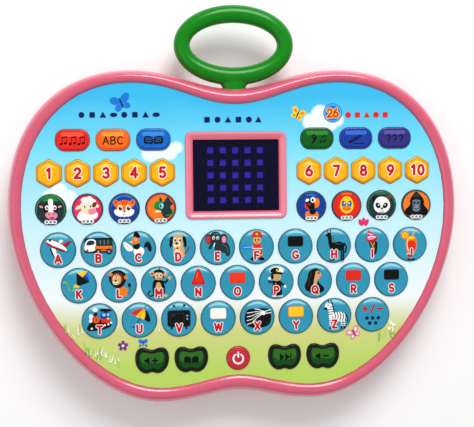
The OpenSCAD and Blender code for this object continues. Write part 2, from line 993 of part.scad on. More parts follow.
// ---- Ring handle ----
RING_STEPS = 60;
RING_SIDES = 16;
bar_side_r = 4.1;
bar_top_r = 5;
bar_low_r = 4.6;
ring_a = handle_w / 2 - bar_side_r;
ring_b = (handle_h - bar_top_r - bar_low_r) / 2;
ring_y = y_high + handle_rise - bar_top_r - ring_b;
foot_w = 30;
foot_l = 11;
foot_t = 4;
foot_gap = 0.2;
foot_low = parting_z + 0.5;
web_half = 8.5;
neck_web_t = 6;

function bar_r(t) = bar_side_r + ((sin(t) > 0 ? bar_top_r : bar_low_r) - bar_side_r) * pow(sin(t), 2);
function ring_point(t, s) =
    let (
        out = [ring_b * cos(t), ring_a * sin(t)],
        n = out / norm(out),
        reach = bar_r(t) * cos(s)
    )
    [
        ring_a * cos(t) + n[0] * reach,
        ring_y + ring_b * sin(t) + n[1] * reach,
        handle_z + handle_bar_t / 2 * sin(s)
    ];
module ring() {
    pts = [
        for (i = [0:RING_STEPS - 1], k = [0:RING_SIDES - 1])
            ring_point(360 * i / RING_STEPS, 360 * k / RING_SIDES)
    ];
    faces = [
        for (i = [0:RING_STEPS - 1], k = [0:RING_SIDES - 1])
            let (
                a = i * RING_SIDES + k,
                b = i * RING_SIDES + (k + 1) % RING_SIDES,
                c = ((i + 1) % RING_STEPS) * RING_SIDES + k,
                d = ((i + 1) % RING_STEPS) * RING_SIDES + (k + 1) % RING_SIDES
            )
            each [[a, b, d], [a, d, c]]
    ];
    polyhedron(points = pts, faces = faces);
}

// Web that fills the corner between the ring and the neck, shaped to the body below it
module neck_web() {
    low_y = y_high - top_notch - CUT;
    difference() {
        translate([-web_half, low_y, handle_z - neck_web_t / 2])
            cube([2 * web_half, ring_y - ring_b - low_y, neck_web_t]);
        slab(inset(BODY, -neck_gap), 0, body_t);
    }
}

module handle() {
    neck_low = foot_y + foot_l / 2 - CUT;
    neck_high = ring_y - ring_b;
    color("green")
        difference() {
            union() {
                ring();
                neck_web();
                translate([0, neck_low, handle_z])
                    rotate([-90, 0, 0])
                        cylinder(d = neck_d, h = neck_high - neck_low);
                translate([-foot_w / 2, foot_y - foot_l / 2, foot_low])
                    cube([foot_w, foot_l, foot_t]);
            }
            for (s = [-1, 1])
                translate([s * foot_boss_x, foot_y, 0])
                    rod(boss_r + foot_gap, 0, body_t);
        }
}

// ---- Assembly ----

front_shell();
rear_shell();
face_overlay();
screen_window();
led_mask();
leds();
circuit_board();
control_chip();
key_mat();
speaker();
battery_cells();
battery_contacts();
battery_door();
door_screws();
shell_screws();
board_screws();
wiring();
handle();
for (s = STRIPS)
    color(s[1] == "number" ? "gold" : "darkorange") key_strip(s[1], s[2], s[3], s[4], s[5]);
for (k = SINGLES)
    color(key_colour(k[0])) single_key(k[1], k[2], k[3]);
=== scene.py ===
"""Looks of a fruit-shaped learning tablet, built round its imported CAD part.

Sizes are in millimetres, and MM scales them.
"""
import math
import random

import bmesh
import bpy
from mathutils import Matrix, Vector
from mathutils.geometry import tessellate_polygon


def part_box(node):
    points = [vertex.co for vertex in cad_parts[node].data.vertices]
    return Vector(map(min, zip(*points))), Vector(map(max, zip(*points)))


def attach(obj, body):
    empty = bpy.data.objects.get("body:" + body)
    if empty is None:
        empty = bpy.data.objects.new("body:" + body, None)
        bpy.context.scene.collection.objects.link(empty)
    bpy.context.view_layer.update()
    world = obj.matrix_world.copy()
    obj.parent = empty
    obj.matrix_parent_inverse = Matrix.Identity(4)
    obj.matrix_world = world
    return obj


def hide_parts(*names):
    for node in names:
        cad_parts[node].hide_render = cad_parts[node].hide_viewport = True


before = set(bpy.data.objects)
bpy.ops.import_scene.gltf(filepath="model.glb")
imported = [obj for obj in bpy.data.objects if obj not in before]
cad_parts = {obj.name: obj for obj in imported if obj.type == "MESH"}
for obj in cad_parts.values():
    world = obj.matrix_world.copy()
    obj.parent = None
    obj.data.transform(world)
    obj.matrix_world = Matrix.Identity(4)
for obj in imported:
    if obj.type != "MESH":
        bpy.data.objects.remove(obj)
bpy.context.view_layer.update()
scene = bpy.context.scene
scene.view_settings.view_transform = "Standard"
MM = 0.001


# ---- Materials ----
def node(tree, kind, **values):
    """Adds a shader node; values name its inputs, or its settings."""
    made = tree.nodes.new(kind)
    for name, value in values.items():
        label = name.replace("_", " ")
        if label in made.inputs:
            made.inputs[label].default_value = value
        else:
            setattr(made, name, value)
    return made


def math_node(tree, operation, a, b=0.0, clamp=False):
    made = node(tree, "ShaderNodeMath", operation=operation, use_clamp=clamp)
    for socket, value in zip(made.inputs, (a, b)):
        if isinstance(value, (int, float)):
            socket.default_value = value
        else:
            tree.links.new(value, socket)
    return made.outputs[0]


def ramp(tree, factor, stops):
    made = node(tree, "ShaderNodeValToRGB")
    points = made.color_ramp.elements
    while len(points) < len(stops):
        points.new(1.0)
    for point, (place, color) in zip(points, sorted(stops)):
        point.position = place
        point.color = (*color, 1.0)
    tree.links.new(factor, made.inputs["Fac"])
    return made.outputs["Color"]


def mix(tree, factor, a, b, blend="MIX"):
    made = node(tree, "ShaderNodeMix", data_type="RGBA", blend_type=blend)
    for socket, value in zip((made.inputs[0], made.inputs[6], made.inputs[7]), (factor, a, b)):
        if isinstance(value, (int, float)):
            socket.default_value = value
        elif isinstance(value, tuple):
            socket.default_value = (*value, 1.0)
        else:
            tree.links.new(value, socket)
    return made.outputs[2]


def srgb(code):
    """A colour written as rrggbb, in the linear values that shaders take."""
    parts = [int(code[i : i + 2], 16) / 255 for i in (0, 2, 4)]
    return tuple(p / 12.92 if p <= 0.04045 else ((p + 0.055) / 1.055) ** 2.4 for p in parts)


def shade(color, share):
    return tuple(min(1.0, c * share) for c in color)


def surface(
    name, color, rough=0.4, metal=0.0, coat=0.0, grain=900.0, depth=0.06, spread=0.06, paint=None, glow=0.0,
    clear=0.0, shine=0.5
):
    """A material with fine mottling, uneven roughness and a grain.

    paint(tree, place) can give its colour instead.
    """
    made = bpy.data.materials.new(name)
    made.use_nodes = True
    tree = made.node_tree
    shader = tree.nodes["Principled BSDF"]
    place = node(tree, "ShaderNodeTexCoord").outputs["Object"]
    patches = node(tree, "ShaderNodeTexNoise", Scale=grain * 0.12, Detail=4.0)
    fine = node(tree, "ShaderNodeTexNoise", Scale=grain, Detail=3.0)
    tree.links.new(place, patches.inputs["Vector"])
    tree.links.new(place, fine.inputs["Vector"])
    tone = paint(tree, place) if paint else mix(
        tree, patches.outputs["Fac"], shade(color, 1 - spread), shade(color, 1 + spread)
    )
    tree.links.new(tone, shader.inputs["Base Color"])
    wear = node(tree, "ShaderNodeMapRange", To_Min=max(0.02, rough - 0.05), To_Max=rough + 0.07)
    tree.links.new(patches.outputs["Fac"], wear.inputs["Value"])
    tree.links.new(wear.outputs["Result"], shader.inputs["Roughness"])
    bump = node(tree, "ShaderNodeBump", Strength=depth, Distance=0.0004)
    tree.links.new(fine.outputs["Fac"], bump.inputs["Height"])
    tree.links.new(bump.outputs["Normal"], shader.inputs["Normal"])
    shader.inputs["Metallic"].default_value = metal
    shader.inputs["Specular IOR Level"].default_value = shine
    shader.inputs["Coat Weight"].default_value = coat
    shader.inputs["Coat Roughness"].default_value = 0.08
    if glow:
        tree.links.new(tone, shader.inputs["Emission Color"])
        shader.inputs["Emission Strength"].default_value = glow
    if clear:
        tinted = node(tree, "ShaderNodeBsdfTransparent", Color=(0.55, 0.5, 0.75, 1.0))
        both = node(tree, "ShaderNodeMixShader", Fac=1 - clear)
        out = tree.nodes["Material Output"]
        tree.links.new(tinted.outputs[0], both.inputs[1])
        tree.links.new(shader.outputs[0], both.inputs[2])
        tree.links.new(both.outputs[0], out.inputs["Surface"])
    return made


def axis_of(tree, place, axis):
    split = node(tree, "ShaderNodeSeparateXYZ")
    tree.links.new(place, split.inputs[0])
    return split.outputs[axis]


def from_middle(tree, place, x, y):
    """Distance in the plane from (x, y), in metres."""
    flat = node(tree, "ShaderNodeVectorMath", operation="MULTIPLY")
    flat.inputs[1].default_value = (1, 1, 0)
    away = node(tree, "ShaderNodeVectorMath", operation="DISTANCE")
    tree.links.new(place, flat.inputs[0])
    tree.links.new(flat.outputs[0], away.inputs[0])
    away.inputs[1].default_value = (x * MM, y * MM, 0)
    return away.outputs["Value"]


def key_paint(top, middle, low, edge, half, border):
    """Paint of a key with painted light: a band from top to low, lightest at the top as a painted highlight
    and shaded lower down as if lit from above, and an edge colour past border from its middle.
    """

    def paint(tree, place):
        up = node(tree, "ShaderNodeMapRange", From_Min=-half * MM, From_Max=half * MM)
        tree.links.new(axis_of(tree, place, 1), up.inputs["Value"])
        # band: painted highlight at the top, with painted shade down the key
        band = ramp(tree, up.outputs["Result"], [(0.0, low), (0.45, middle), (0.78, middle), (0.98, top)])
        rim = node(tree, "ShaderNodeMapRange", From_Min=(border - 0.35) * MM, From_Max=(border + 0.35) * MM)
        tree.links.new(from_middle(tree, place, 0, 0), rim.inputs["Value"])
        return mix(tree, rim.outputs["Result"], band, edge)

    return paint


# ---- Meshes ----
def make(name, points, faces, material, body, slot=None, angle=38):
    """A mesh from points in mm, shaded smooth below the angle, that rides on a CAD body."""
    mesh = bpy.data.meshes.new(name)
    mesh.from_pydata([Vector(p) * MM for p in points], [], faces)
    return place_mesh(name, mesh, [material], body, angle)


def place_mesh(name, mesh, materials, body, angle=38):
    shell = bmesh.new()
    shell.from_mesh(mesh)
    bmesh.ops.remove_doubles(shell, verts=shell.verts, dist=0.002 * MM)
    bmesh.ops.recalc_face_normals(shell, faces=shell.faces)
    shell.to_mesh(mesh)
    shell.free()
    for material in materials:
        mesh.materials.append(material)
    mesh.shade_smooth()
    mesh.set_sharp_from_angle(angle=math.radians(angle))
    made = bpy.data.objects.new(name, mesh)
    scene.collection.objects.link(made)
    if body:
        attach(made, body)
    return made


def loft(rings, closed=False):
    """Faces through rings of equally many points. An open stack is capped with one face at each end."""
    n = len(rings[0])
    points = [p for ring in rings for p in ring]
    faces = []
    for k in range(len(rings) if closed else len(rings) - 1):
        a, b = k * n, (k + 1) % len(rings) * n
        faces += [(a + i, a + (i + 1) % n, b + (i + 1) % n, b + i) for i in range(n)]
    if not closed:
        faces += [tuple(range(n))[::-1], tuple(range(len(points) - n, len(points)))]
    return points, faces


def plate(name, loops, low, high, material, body, edge=0.0):
    """A flat plate with holes, from closed loops in mm, with an edge rounding."""
    curve = bpy.data.curves.new(name, "CURVE")
    curve.dimensions = "2D"
    curve.fill_mode = "BOTH"
    curve.extrude = ((high - low) / 2 - edge) * MM
    curve.bevel_depth = edge * MM
    curve.bevel_resolution = 2
    curve.offset = -edge * MM
    for loop in loops:
        spline = curve.splines.new("POLY")
        spline.points.add(len(loop) - 1)
        for point, (x, y) in zip(spline.points, loop):
            point.co = (x * MM, y * MM, 0, 1)
        spline.use_cyclic_u = True
    holder = bpy.data.objects.new(name, curve)
    mesh = bpy.data.meshes.new_from_object(holder)
    mesh.materials.clear()
    bpy.data.objects.remove(holder)
    mesh.transform(Matrix.Translation((0, 0, (low + high) / 2 * MM)))
    return place_mesh(name, mesh, [material], body)


# ---- Outlines, by the same curves as the CAD ----
LOW_Y, HIGH_Y, SIDE_Y = -105.65, 71.35, -2.05
MID_Y = (LOW_Y + HIGH_Y) / 2
STEPS = 34
RUNS = ((1, 0), (1, 0), (0, -1), (-1, 0), (-1, 0))
BODY_REACH = ((20, 25), (40, 45), (44, 42), (16, 12))
PANEL_REACH = ((19, 24), (33, 40), (46, 35), (16, 12))
RIM = (8.9, 7.3, 8.1, 9.1, 9.9)


def bezier(a, b, c, d, t):
    return tuple(
        (1 - t) ** 3 * p + 3 * (1 - t) ** 2 * t * q + 3 * (1 - t) * t * t * r + t**3 * s for p, q, r,
        s in zip(a, b, c, d)
    )


def half_round(knots, reach, steps):
    half = []
    for q in range(4):
        p, s = knots[q], knots[q + 1]
        out = tuple(p[i] + RUNS[q][i] * reach[q][0] for i in (0, 1))
        back = tuple(s[i] - RUNS[q + 1][i] * reach[q][1] for i in (0, 1))
        half += [bezier(p, out, back, s, i / steps) for i in range(steps)]
    return half + [knots[4]] + [(-x, y) for x, y in half[:0:-1]]


def outline(rim, reach):
    knots = (
        (0, HIGH_Y - 9.7 - rim[0]),
        (55, HIGH_Y - rim[1]),
        (120 - rim[2], SIDE_Y),
        (40, LOW_Y + rim[3]),
        (0, LOW_Y + 5.3 + rim[4]),
    )
    return half_round(knots, reach, STEPS)


def inset(loop, d):
    moved = []
    for i, (x, y) in enumerate(loop):
        (ax, ay), (bx, by) = loop[i - 1], loop[(i + 1) % len(loop)]
        n = math.hypot(bx - ax, by - ay)
        moved.append((x + d * (by - ay) / n, y - d * (bx - ax) / n))
    return moved


BODY = outline((0, 0, 0, 0, 0), BODY_REACH)
PANEL = outline(RIM, PANEL_REACH)


def between(share, z):
    """Ring at a share of the way from the body's outline to the panel's."""
    return [(a[0] + (b[0] - a[0]) * share, a[1] + (b[1] - a[1]) * share, z) for a, b in zip(BODY, PANEL)]


def at_height(loop, z):
    return [(x, y, z) for x, y in loop]


def circle(x, y, r, steps=32):
    return [
        (x + r * math.cos(2 * math.pi * i / steps), y + r * math.sin(2 * math.pi * i / steps))
        for i in range(steps)
    ]


def round_box(x, y, w, h, r, steps=6):
    loop = []
    for k, (sx, sy) in enumerate(((1, 1), (-1, 1), (-1, -1), (1, -1))):
        for i in range(steps + 1):
            a = math.pi / 2 * (k + i / steps)
            loop.append((x + sx * (w / 2 - r) + r * math.cos(a), y + sy * (h / 2 - r) + r * math.sin(a)))
    return loop


def hexagon(x, y, w, r=1.2, steps=5):
    loop = []
    for k in range(6):
        middle = math.radians(90 + 60 * k)
        reach = (w / 2 - r) / math.cos(math.pi / 6)
        for i in range(steps + 1):
            a = middle + math.radians(60 * i / steps - 30)
            loop.append(
                (
                    x + reach * math.cos(middle) + r * math.cos(a),
                    y + reach * math.sin(middle) + r * math.sin(a)
                )
            )
    return loop


def apple(x, y, w, h, steps=10):
    knots = ((0, h * 0.41), (w * 0.28, h / 2), (w / 2, h * 0.07), (w * 0.17, -h / 2), (0, -h * 0.45))
    reach = [(a * w, b * w) for a, b in ((0.12, 0.12), (0.13, 0.22), (0.26, 0.16), (0.08, 0.06))]
    return [(px + x, py + y) for px, py in half_round(knots, reach, steps)][::-1]


# ---- Where the keys are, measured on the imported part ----
def middle_of(name):
    lo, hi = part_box(name)
    return (lo.x + hi.x) / 2 / MM, (lo.y + hi.y) / 2 / MM


KEY_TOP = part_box("key_a")[1].z / MM
FILM_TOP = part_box("face_overlay")[1].z / MM
LETTERS = ["key_" + c for c in "abcdefghijklmnopqrstuvwxyz"] + ["key_plus_minus"]
MODES = ["key_music", "key_letter", "key_word", "key_singing", "key_spell", "key_asking"]
APPLES = ["key_volume_up", "key_story", "key_next", "key_volume_down"]


def strip_places(name, count, pitch):
    x, y = middle_of(name)
    return [(x + (i - (count - 1) / 2) * pitch, y) for i in range(count)]


NUMBERS = {n: strip_places(n, 5, 14.6) for n in ("numbers_left", "numbers_right")}
ANIMALS = {n: strip_places(n, 4, 18.9) for n in ("animals_left", "animals_right")}
LETTER_R = 9.1
ANIMAL_R = 7.9
POWER_R = 6.15
NUMBER_W = 12.8
MODE_W, MODE_H, MODE_CORNER = 17.5, 11.1, 5
APPLE_W, APPLE_H = 17.4, 13.2
HOLE_ROOM = 0.2
ART_ROOM = 0.5
# Length in mm of one unit of each kind of key's art
ANIMAL_UNIT = 7.6
NUMBER_UNIT = 6.5
MODE_UNIT = 5.55
APPLE_UNIT = 6.6
POWER_UNIT = 6.25
OUTLINES = {
    "letter": lambda d: circle(0, 0, LETTER_R + d, 64),
    "animal": lambda d: circle(0, 0, ANIMAL_R + d, 64),
    "power": lambda d: circle(0, 0, POWER_R + d, 48),
    "mode": lambda d: round_box(0, 0, MODE_W + 2 * d, MODE_H + 2 * d, MODE_CORNER + d, 10),
    "number": lambda d: hexagon(0, 0, NUMBER_W + 2 * d, max(2 + d, 0.6)),
    "apple": lambda d: inset(apple(0, 0, APPLE_W, APPLE_H), d),
}
KEYS = [("letter", n, n, *middle_of(n)) for n in LETTERS]
KEYS += [("mode", n, n, *middle_of(n)) for n in MODES]
KEYS += [("apple", n, n, *middle_of(n)) for n in APPLES]
KEYS += [("power", "key_power", "key_power", *middle_of("key_power"))]
KEYS += [("number", f"{n}_{i + 1}", n, *p) for n in NUMBERS for i, p in enumerate(NUMBERS[n])]
KEYS += [("animal", f"{n}_{i + 1}", n, *p) for n in ANIMALS for i, p in enumerate(ANIMALS[n])]


def key_holes(room):
    return [[(px + x, py + y) for px, py in OUTLINES[kind](room)] for kind, _, _, x, y in KEYS]


HOLES = key_holes(HOLE_ROOM)
WIDE_HOLES = key_holes(ART_ROOM)

# ---- Shells ----
PINK = srgb("d65672")
shell_pink = surface("shell_pink", PINK, 0.22, coat=0.6, depth=0.03)
SCREEN = (0, MID_Y + 32.4)
CREST = [(1 - math.cos(a), math.sin(a)) for a in (math.radians(90 * i / 14) for i in range(15))]
rim_profile = [(0.02, 14.12)] + [(0.6 * s, 14.35 + 13.65 * z) for s, z in CREST]
rim_profile += [
    (0.68, 27.98), (0.76, 27.85), (0.84, 27.6), (0.91, 27.25), (0.96, 26.85), (0.99, 26.5), (1, 26.2)
]
rim_profile += [(1, 24), (0.4, 24), (0.25, 18), (0.25, 14.12)]
front = make(
    "shell_front_rim", *loft([between(s, z) for s, z in rim_profile], closed=True), shell_pink, "case",
    "shell_plastic", 50
)
plate(
    "shell_front_deck", [inset(PANEL, -0.5), round_box(*SCREEN, 45.4, 37.6, 0.6)] + HOLES, 23.8, 25.8,
    shell_pink, "case"
)
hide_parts("front_shell")

BEZEL = (
    (53.2, 3.2, 24.5), (53.2, 3.2, 26.9), (52.8, 3.0, 27.12), (52.2, 2.8, 27.2), (51.0, 2.2, 27.2),
    (50.4, 1.9, 27.1), (46.2, 0.5, 25.5), (45.4, 0.3, 25.1), (45.4, 0.3, 24.5)
)
bezel_rings = [at_height(round_box(*SCREEN, w, w - 7.8, r, 8), z) for w, r, z in BEZEL]
bezel_pink = surface("bezel_pink", srgb("ee7f92"), 0.2, coat=0.5, depth=0.03)
make("shell_screen_frame", *loft(bezel_rings, closed=True), bezel_pink, "case", "shell_plastic", 30)

DOOR = (0, MID_Y - 13)
SCREWS = [
    (s * x, y) for x,
    y in ((58, MID_Y + 68.6), (107, MID_Y + 25.2), (70, MID_Y - 58.9), (9, 51.95)) for s in (-1, 1)
]
SPEAKER = (-76, MID_Y + 8)
# How far in from the outline the flat floor starts: outside every screw hole
FLOOR_IN = 6.4
skirt = [(0.12, 13.88), (0, 13.6), (0, 8.2)] + [
    (6 - 6 * math.sin(a), 8 - 8 * math.cos(a)) for a in (math.radians(90 - 90 * i / 10) for i in range(11))
]
skirt = [(d, z) for d, z in skirt if z >= 0] + [(FLOOR_IN, 0), (FLOOR_IN, 2.2), (2.4, 8.4), (2.4, 13.88)]
rear = make(
    "shell_rear_skirt", *loft([at_height(inset(BODY, d), z) for d, z in skirt], closed=True), shell_pink,
    "case", "shell_plastic", 50
)
grille = [
    circle(SPEAKER[0] + r * 4.6 * math.cos(a), SPEAKER[1] + r * 4.6 * math.sin(a), 1.25, 20) for r in range(4)
    for a in [2 * math.pi * k / max(1, 6 * r) for k in range(max(1, 6 * r))]
]
door_hole = round_box(*DOOR, 83.9, 52.8, 4.4)
plate(
    "shell_rear_floor",
    [inset(BODY, FLOOR_IN - 0.05), door_hole] + [circle(x, y, 3.3) for x, y in SCREWS] + grille, 0, 2.2,
    shell_pink, "case", 0.2
)
plate(
    "shell_bay_ledge",
    [
        round_box(*DOOR, 86, 55, 5.4), round_box(*DOOR, 56.9, 46, 0.6), circle(-37.05, DOOR[1], 4),
        circle(37.05, DOOR[1], 4)
    ],
    2.4, 4, shell_pink, "case"
)
cup_rings = [
    at_height(round_box(*DOOR, w, w - 10.9, r, 4), z) for w, r,
    z in ((59.9, 2, 3.9), (59.9, 2, 18.9), (57, 0.6, 18.9), (56.9, 0.6, 3.9))
]
make("shell_bay_walls", *loft(cup_rings, closed=True), shell_pink, "case", "shell_plastic")
plate("shell_bay_ceiling", [round_box(*DOOR, 58, 47, 1)], 17.4, 18.85, shell_pink, "case")
for i, (x, y) in enumerate(SCREWS):
    tube = [
        at_height(circle(x, y, r), z) for r,
        z in ((4.8, 2.1), (4.8, 7.2), (1.7, 7.2), (1.7, 5.5), (3.3, 5.5), (3.3, 2.1))
    ]
    make(f"shell_screw_tube_{i + 1}", *loft(tube, closed=True), shell_pink, "case", "shell_plastic")
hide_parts("rear_shell")


# ---- Vector art: flat shapes in units of the key's radius ----
def oval(x, y, rx, ry=None, turn=0, steps=26):
    ry = rx if ry is None else ry
    c, s = math.cos(math.radians(turn)), math.sin(math.radians(turn))
    ring = [
        (rx * math.cos(2 * math.pi * i / steps), ry * math.sin(2 * math.pi * i / steps)) for i in range(steps)
    ]
    return [(x + px * c - py * s, y + px * s + py * c) for px, py in ring]


def box(x, y, w, h, r=0.0, turn=0):
    c, s = math.cos(math.radians(turn)), math.sin(math.radians(turn))
    loop = round_box(0, 0, w, h, r, 4) if r else [
        (w / 2, h / 2), (-w / 2, h / 2), (-w / 2, -h / 2), (w / 2, -h / 2)
    ]
    return [(x + px * c - py * s, y + px * s + py * c) for px, py in loop]


def blob(*points):
    """A smooth closed shape round these corners."""
    loop = list(points)
    for _ in range(3):
        cut = []
        for (ax, ay), (bx, by) in zip(loop, loop[1:] + loop[:1]):
            cut += [
                (ax * 0.75 + bx * 0.25, ay * 0.75 + by * 0.25), (ax * 0.25 + bx * 0.75, ay * 0.25 + by * 0.75)
            ]
        loop = cut
    return loop


def line(width, *points):
    """A stroke of that width with round ends."""
    n = len(points)
    left, right = [], []
    for i, (x, y) in enumerate(points):
        (ax, ay), (bx, by) = points[max(i - 1, 0)], points[min(i + 1, n - 1)]
        length = math.hypot(bx - ax, by - ay)
        nx, ny = (ay - by) / length * width / 2, (bx - ax) / length * width / 2
        left.append((x + nx, y + ny))
        right.append((x - nx, y - ny))

    def cap(centre, start):
        a0 = math.atan2(start[1] - centre[1], start[0] - centre[0])
        return [
            (
                centre[0] + width / 2 * math.cos(a0 - math.pi * k / 6),
                centre[1] + width / 2 * math.sin(a0 - math.pi * k / 6)
            )
            for k in range(1, 6)
        ]

    return left + cap(points[-1], left[-1]) + right[::-1] + cap(points[0], right[0])


def arc(x, y, r, start, end, width):
    return line(
        width,
        *[
            (
                x + r * math.cos(math.radians(start + (end - start) * i / 14)),
                y + r * math.sin(math.radians(start + (end - start) * i / 14))
            )
            for i in range(15)
        ]
    )


def both(loop):
    """A loop and its mirror image."""
    return [loop, [(-x, y) for x, y in loop][::-1]]


INKS = {
    "scarlet": "f4361c", "white": "f6f6f2", "black": "0c0c10", "navy": "0c1c5a", "crimson": "c8101e",
    "red": "e02a1c", "orange": "f07a1e", "yellow": "f8c81e", "tan": "d8a468", "brown": "6a3a1c",
    "pink": "ec8aa8",
    "rose": "e2306c", "blue": "1e78d8", "sky": "8ad8f0", "deep": "123c96", "green": "1c8a34",
    "leaf": "8cc83c", "grass": "c4d878", "dark": "1e3438", "grey": "8a98a4", "violet": "7a2c8c",
    "cream": "f6e2b8", "steel": "4c6070",
}
ink_materials = {
    n: surface("ink_" + n, srgb(c), 0.3, depth=0.02, shine=0.15, grain=2400, spread=0.08) for n,
    c in INKS.items()
}


# Flat ink for print, and also for the painted highlights on the keys
def ink_for_prints_and_highlights(name, color):
    return surface("ink_" + name, color, 0.3, depth=0.02, shine=0.15)


def signed_area(loop):
    return sum(ax * by - bx * ay for (ax, ay), (bx, by) in zip(loop, loop[1:] + loop[:1])) / 2


def bow(cx, cy, rx, ry, start, end, steps=10):
    """Points along part of an ellipse."""
    return [
        (
            cx + rx * math.cos(math.radians(start + (end - start) * i / steps)),
            cy + ry * math.sin(math.radians(start + (end - start) * i / steps))
        )
        for i in range(steps + 1)
    ]


def hoop(cx, cy, rx, ry):
    return [bow(cx, cy, rx, ry, -4, 184), bow(cx, cy, rx, ry, 176, 364)]


# Strokes of each letter and digit, one unit high, with their middle at x = 0
STROKES = {
    "A": [[(-0.38, 0), (0, 1)], [(0, 1), (0.38, 0)], [(-0.22, 0.32), (0.22, 0.32)]],
    "B": [
        [(-0.28, 0), (-0.28, 1)], [(-0.28, 1), (0.04, 1)], [(-0.28, 0.53), (0.05, 0.53)],
        [(-0.28, 0), (0.06, 0)], bow(0.04, 0.765, 0.22, 0.235, 90, -90),
        bow(0.06, 0.265, 0.25, 0.265, 90, -90)
    ],
    "C": [bow(0.04, 0.5, 0.38, 0.5, 48, 312)],
    "D": [
        [(-0.28, 0), (-0.28, 1)], [(-0.28, 1), (0, 1)], [(-0.28, 0), (0, 0)], bow(0, 0.5, 0.33, 0.5, 90, -90)
    ],
    "E": [
        [(-0.24, 0), (-0.24, 1)], [(-0.24, 1), (0.26, 1)], [(-0.24, 0.52), (0.2, 0.52)],
        [(-0.24, 0), (0.26, 0)]
    ],
    "F": [[(-0.22, 0), (-0.22, 1)], [(-0.22, 1), (0.28, 1)], [(-0.22, 0.52), (0.2, 0.52)]],
    "G": [bow(0.02, 0.5, 0.38, 0.5, 48, 345), [(0.38, 0.4), (0.12, 0.4)]],
    "H": [[(-0.3, 0), (-0.3, 1)], [(0.3, 0), (0.3, 1)], [(-0.3, 0.5), (0.3, 0.5)]],
    "I": [[(0, 0), (0, 1)]],
    "J": [[(0.18, 1), (0.18, 0.28)], bow(-0.06, 0.26, 0.24, 0.26, 0, -170)],
    "K": [[(-0.26, 0), (-0.26, 1)], [(0.28, 1), (-0.26, 0.4)], [(-0.08, 0.6), (0.3, 0)]],
    "L": [[(-0.2, 1), (-0.2, 0)], [(-0.2, 0), (0.26, 0)]],
    "M": [[(-0.36, 0), (-0.36, 1)], [(-0.36, 1), (0, 0.35)], [(0, 0.35), (0.36, 1)], [(0.36, 1), (0.36, 0)]],
    "N": [[(-0.3, 0), (-0.3, 1)], [(-0.3, 1), (0.3, 0)], [(0.3, 0), (0.3, 1)]],
    "O": hoop(0, 0.5, 0.38, 0.5),
    "P": [
        [(-0.26, 0), (-0.26, 1)], [(-0.26, 1), (0.04, 1)], [(-0.26, 0.46), (0.04, 0.46)],
        bow(0.04, 0.73, 0.25, 0.27, 90, -90)
    ],
    "Q": [*hoop(0, 0.5, 0.38, 0.5), [(0.1, 0.25), (0.38, -0.06)]],
    "R": [
        [(-0.26, 0), (-0.26, 1)], [(-0.26, 1), (0.04, 1)], [(-0.26, 0.46), (0.04, 0.46)],
        bow(0.04, 0.73, 0.25, 0.27, 90, -90), [(0.02, 0.46), (0.3, 0)]
    ],
    "S": [bow(0, 0.74, 0.27, 0.26, 35, 262), bow(0, 0.25, 0.29, 0.25, 82, -145)],
    "T": [[(-0.32, 1), (0.32, 1)], [(0, 1), (0, 0)]],
    "U": [[(-0.3, 1), (-0.3, 0.3)], bow(0, 0.3, 0.3, 0.3, 180, 360), [(0.3, 0.3), (0.3, 1)]],
    "V": [[(-0.34, 1), (0, 0)], [(0, 0), (0.34, 1)]],
    "W": [[(-0.48, 1), (-0.25, 0)], [(-0.25, 0), (0, 0.9)], [(0, 0.9), (0.25, 0)], [(0.25, 0), (0.48, 1)]],
    "X": [[(-0.32, 0), (0.32, 1)], [(-0.32, 1), (0.32, 0)]],
    "Y": [[(-0.32, 1), (0, 0.48)], [(0.32, 1), (0, 0.48)], [(0, 0.48), (0, 0)]],
    "Z": [[(-0.28, 1), (0.28, 1)], [(0.28, 1), (-0.28, 0)], [(-0.28, 0), (0.28, 0)]],
    "0": hoop(0, 0.5, 0.28, 0.5),
    "1": [[(-0.16, 0.8), (0.06, 1)], [(0.06, 1), (0.06, 0)]],
    "2": [bow(0, 0.72, 0.27, 0.28, 165, -30), [(0.23, 0.58), (-0.28, 0)], [(-0.28, 0), (0.3, 0)]],
    "3": [bow(0, 0.75, 0.25, 0.25, 150, -90), bow(0, 0.26, 0.29, 0.26, 90, -150)],
    "4": [[(0.12, 0), (0.12, 1)], [(0.12, 1), (-0.32, 0.3)], [(-0.32, 0.3), (0.32, 0.3)]],
    "5": [[(0.24, 1), (-0.18, 1)], [(-0.18, 1), (-0.22, 0.55)], bow(0, 0.31, 0.28, 0.31, 140, -140)],
    "6": [*hoop(0, 0.3, 0.29, 0.3), [(-0.29, 0.3), (-0.2, 0.66), (0.1, 1)]],
    "7": [[(-0.28, 1), (0.28, 1)], [(0.28, 1), (-0.06, 0)]],
    "8": [*hoop(0, 0.75, 0.23, 0.25), *hoop(0, 0.27, 0.29, 0.27)],
    "9": [*hoop(0, 0.7, 0.29, 0.3), [(0.29, 0.7), (0.2, 0.34), (-0.1, 0)]],
    "?": [bow(0, 0.74, 0.24, 0.26, 165, -60), [(0.1, 0.5), (0, 0.3)], [(0, 0.0), (0, 0.02)]],
    "+": [[(-0.28, 0.5), (0.28, 0.5)], [(0, 0.22), (0, 0.78)]],
    "/": [[(-0.18, 0.05), (0.18, 0.95)]],
    "-": [[(-0.26, 0.5), (0.26, 0.5)]],
}


def write(text, ink, high, x, y, weight=0.2, outline=None, rim=0.1, step=0.85):
    """Strokes of some letters or digits with their middle at (x, y).

    They have an outline under them if one is named.
    """
    shapes = []
    for under in ([True] if outline else []) + [False]:
        for i, sign in enumerate(text):
            cx = x + (i - (len(text) - 1) / 2) * step * high
            for stroke in STROKES[sign]:
                placed = [(cx + px * high, y + (py - 0.5) * high) for px, py in stroke]
                shapes.append(
                    (outline if under else ink, line(high * (weight + (2 * rim if under else 0)), *placed))
                )
    return shapes


LAYER = 0.005


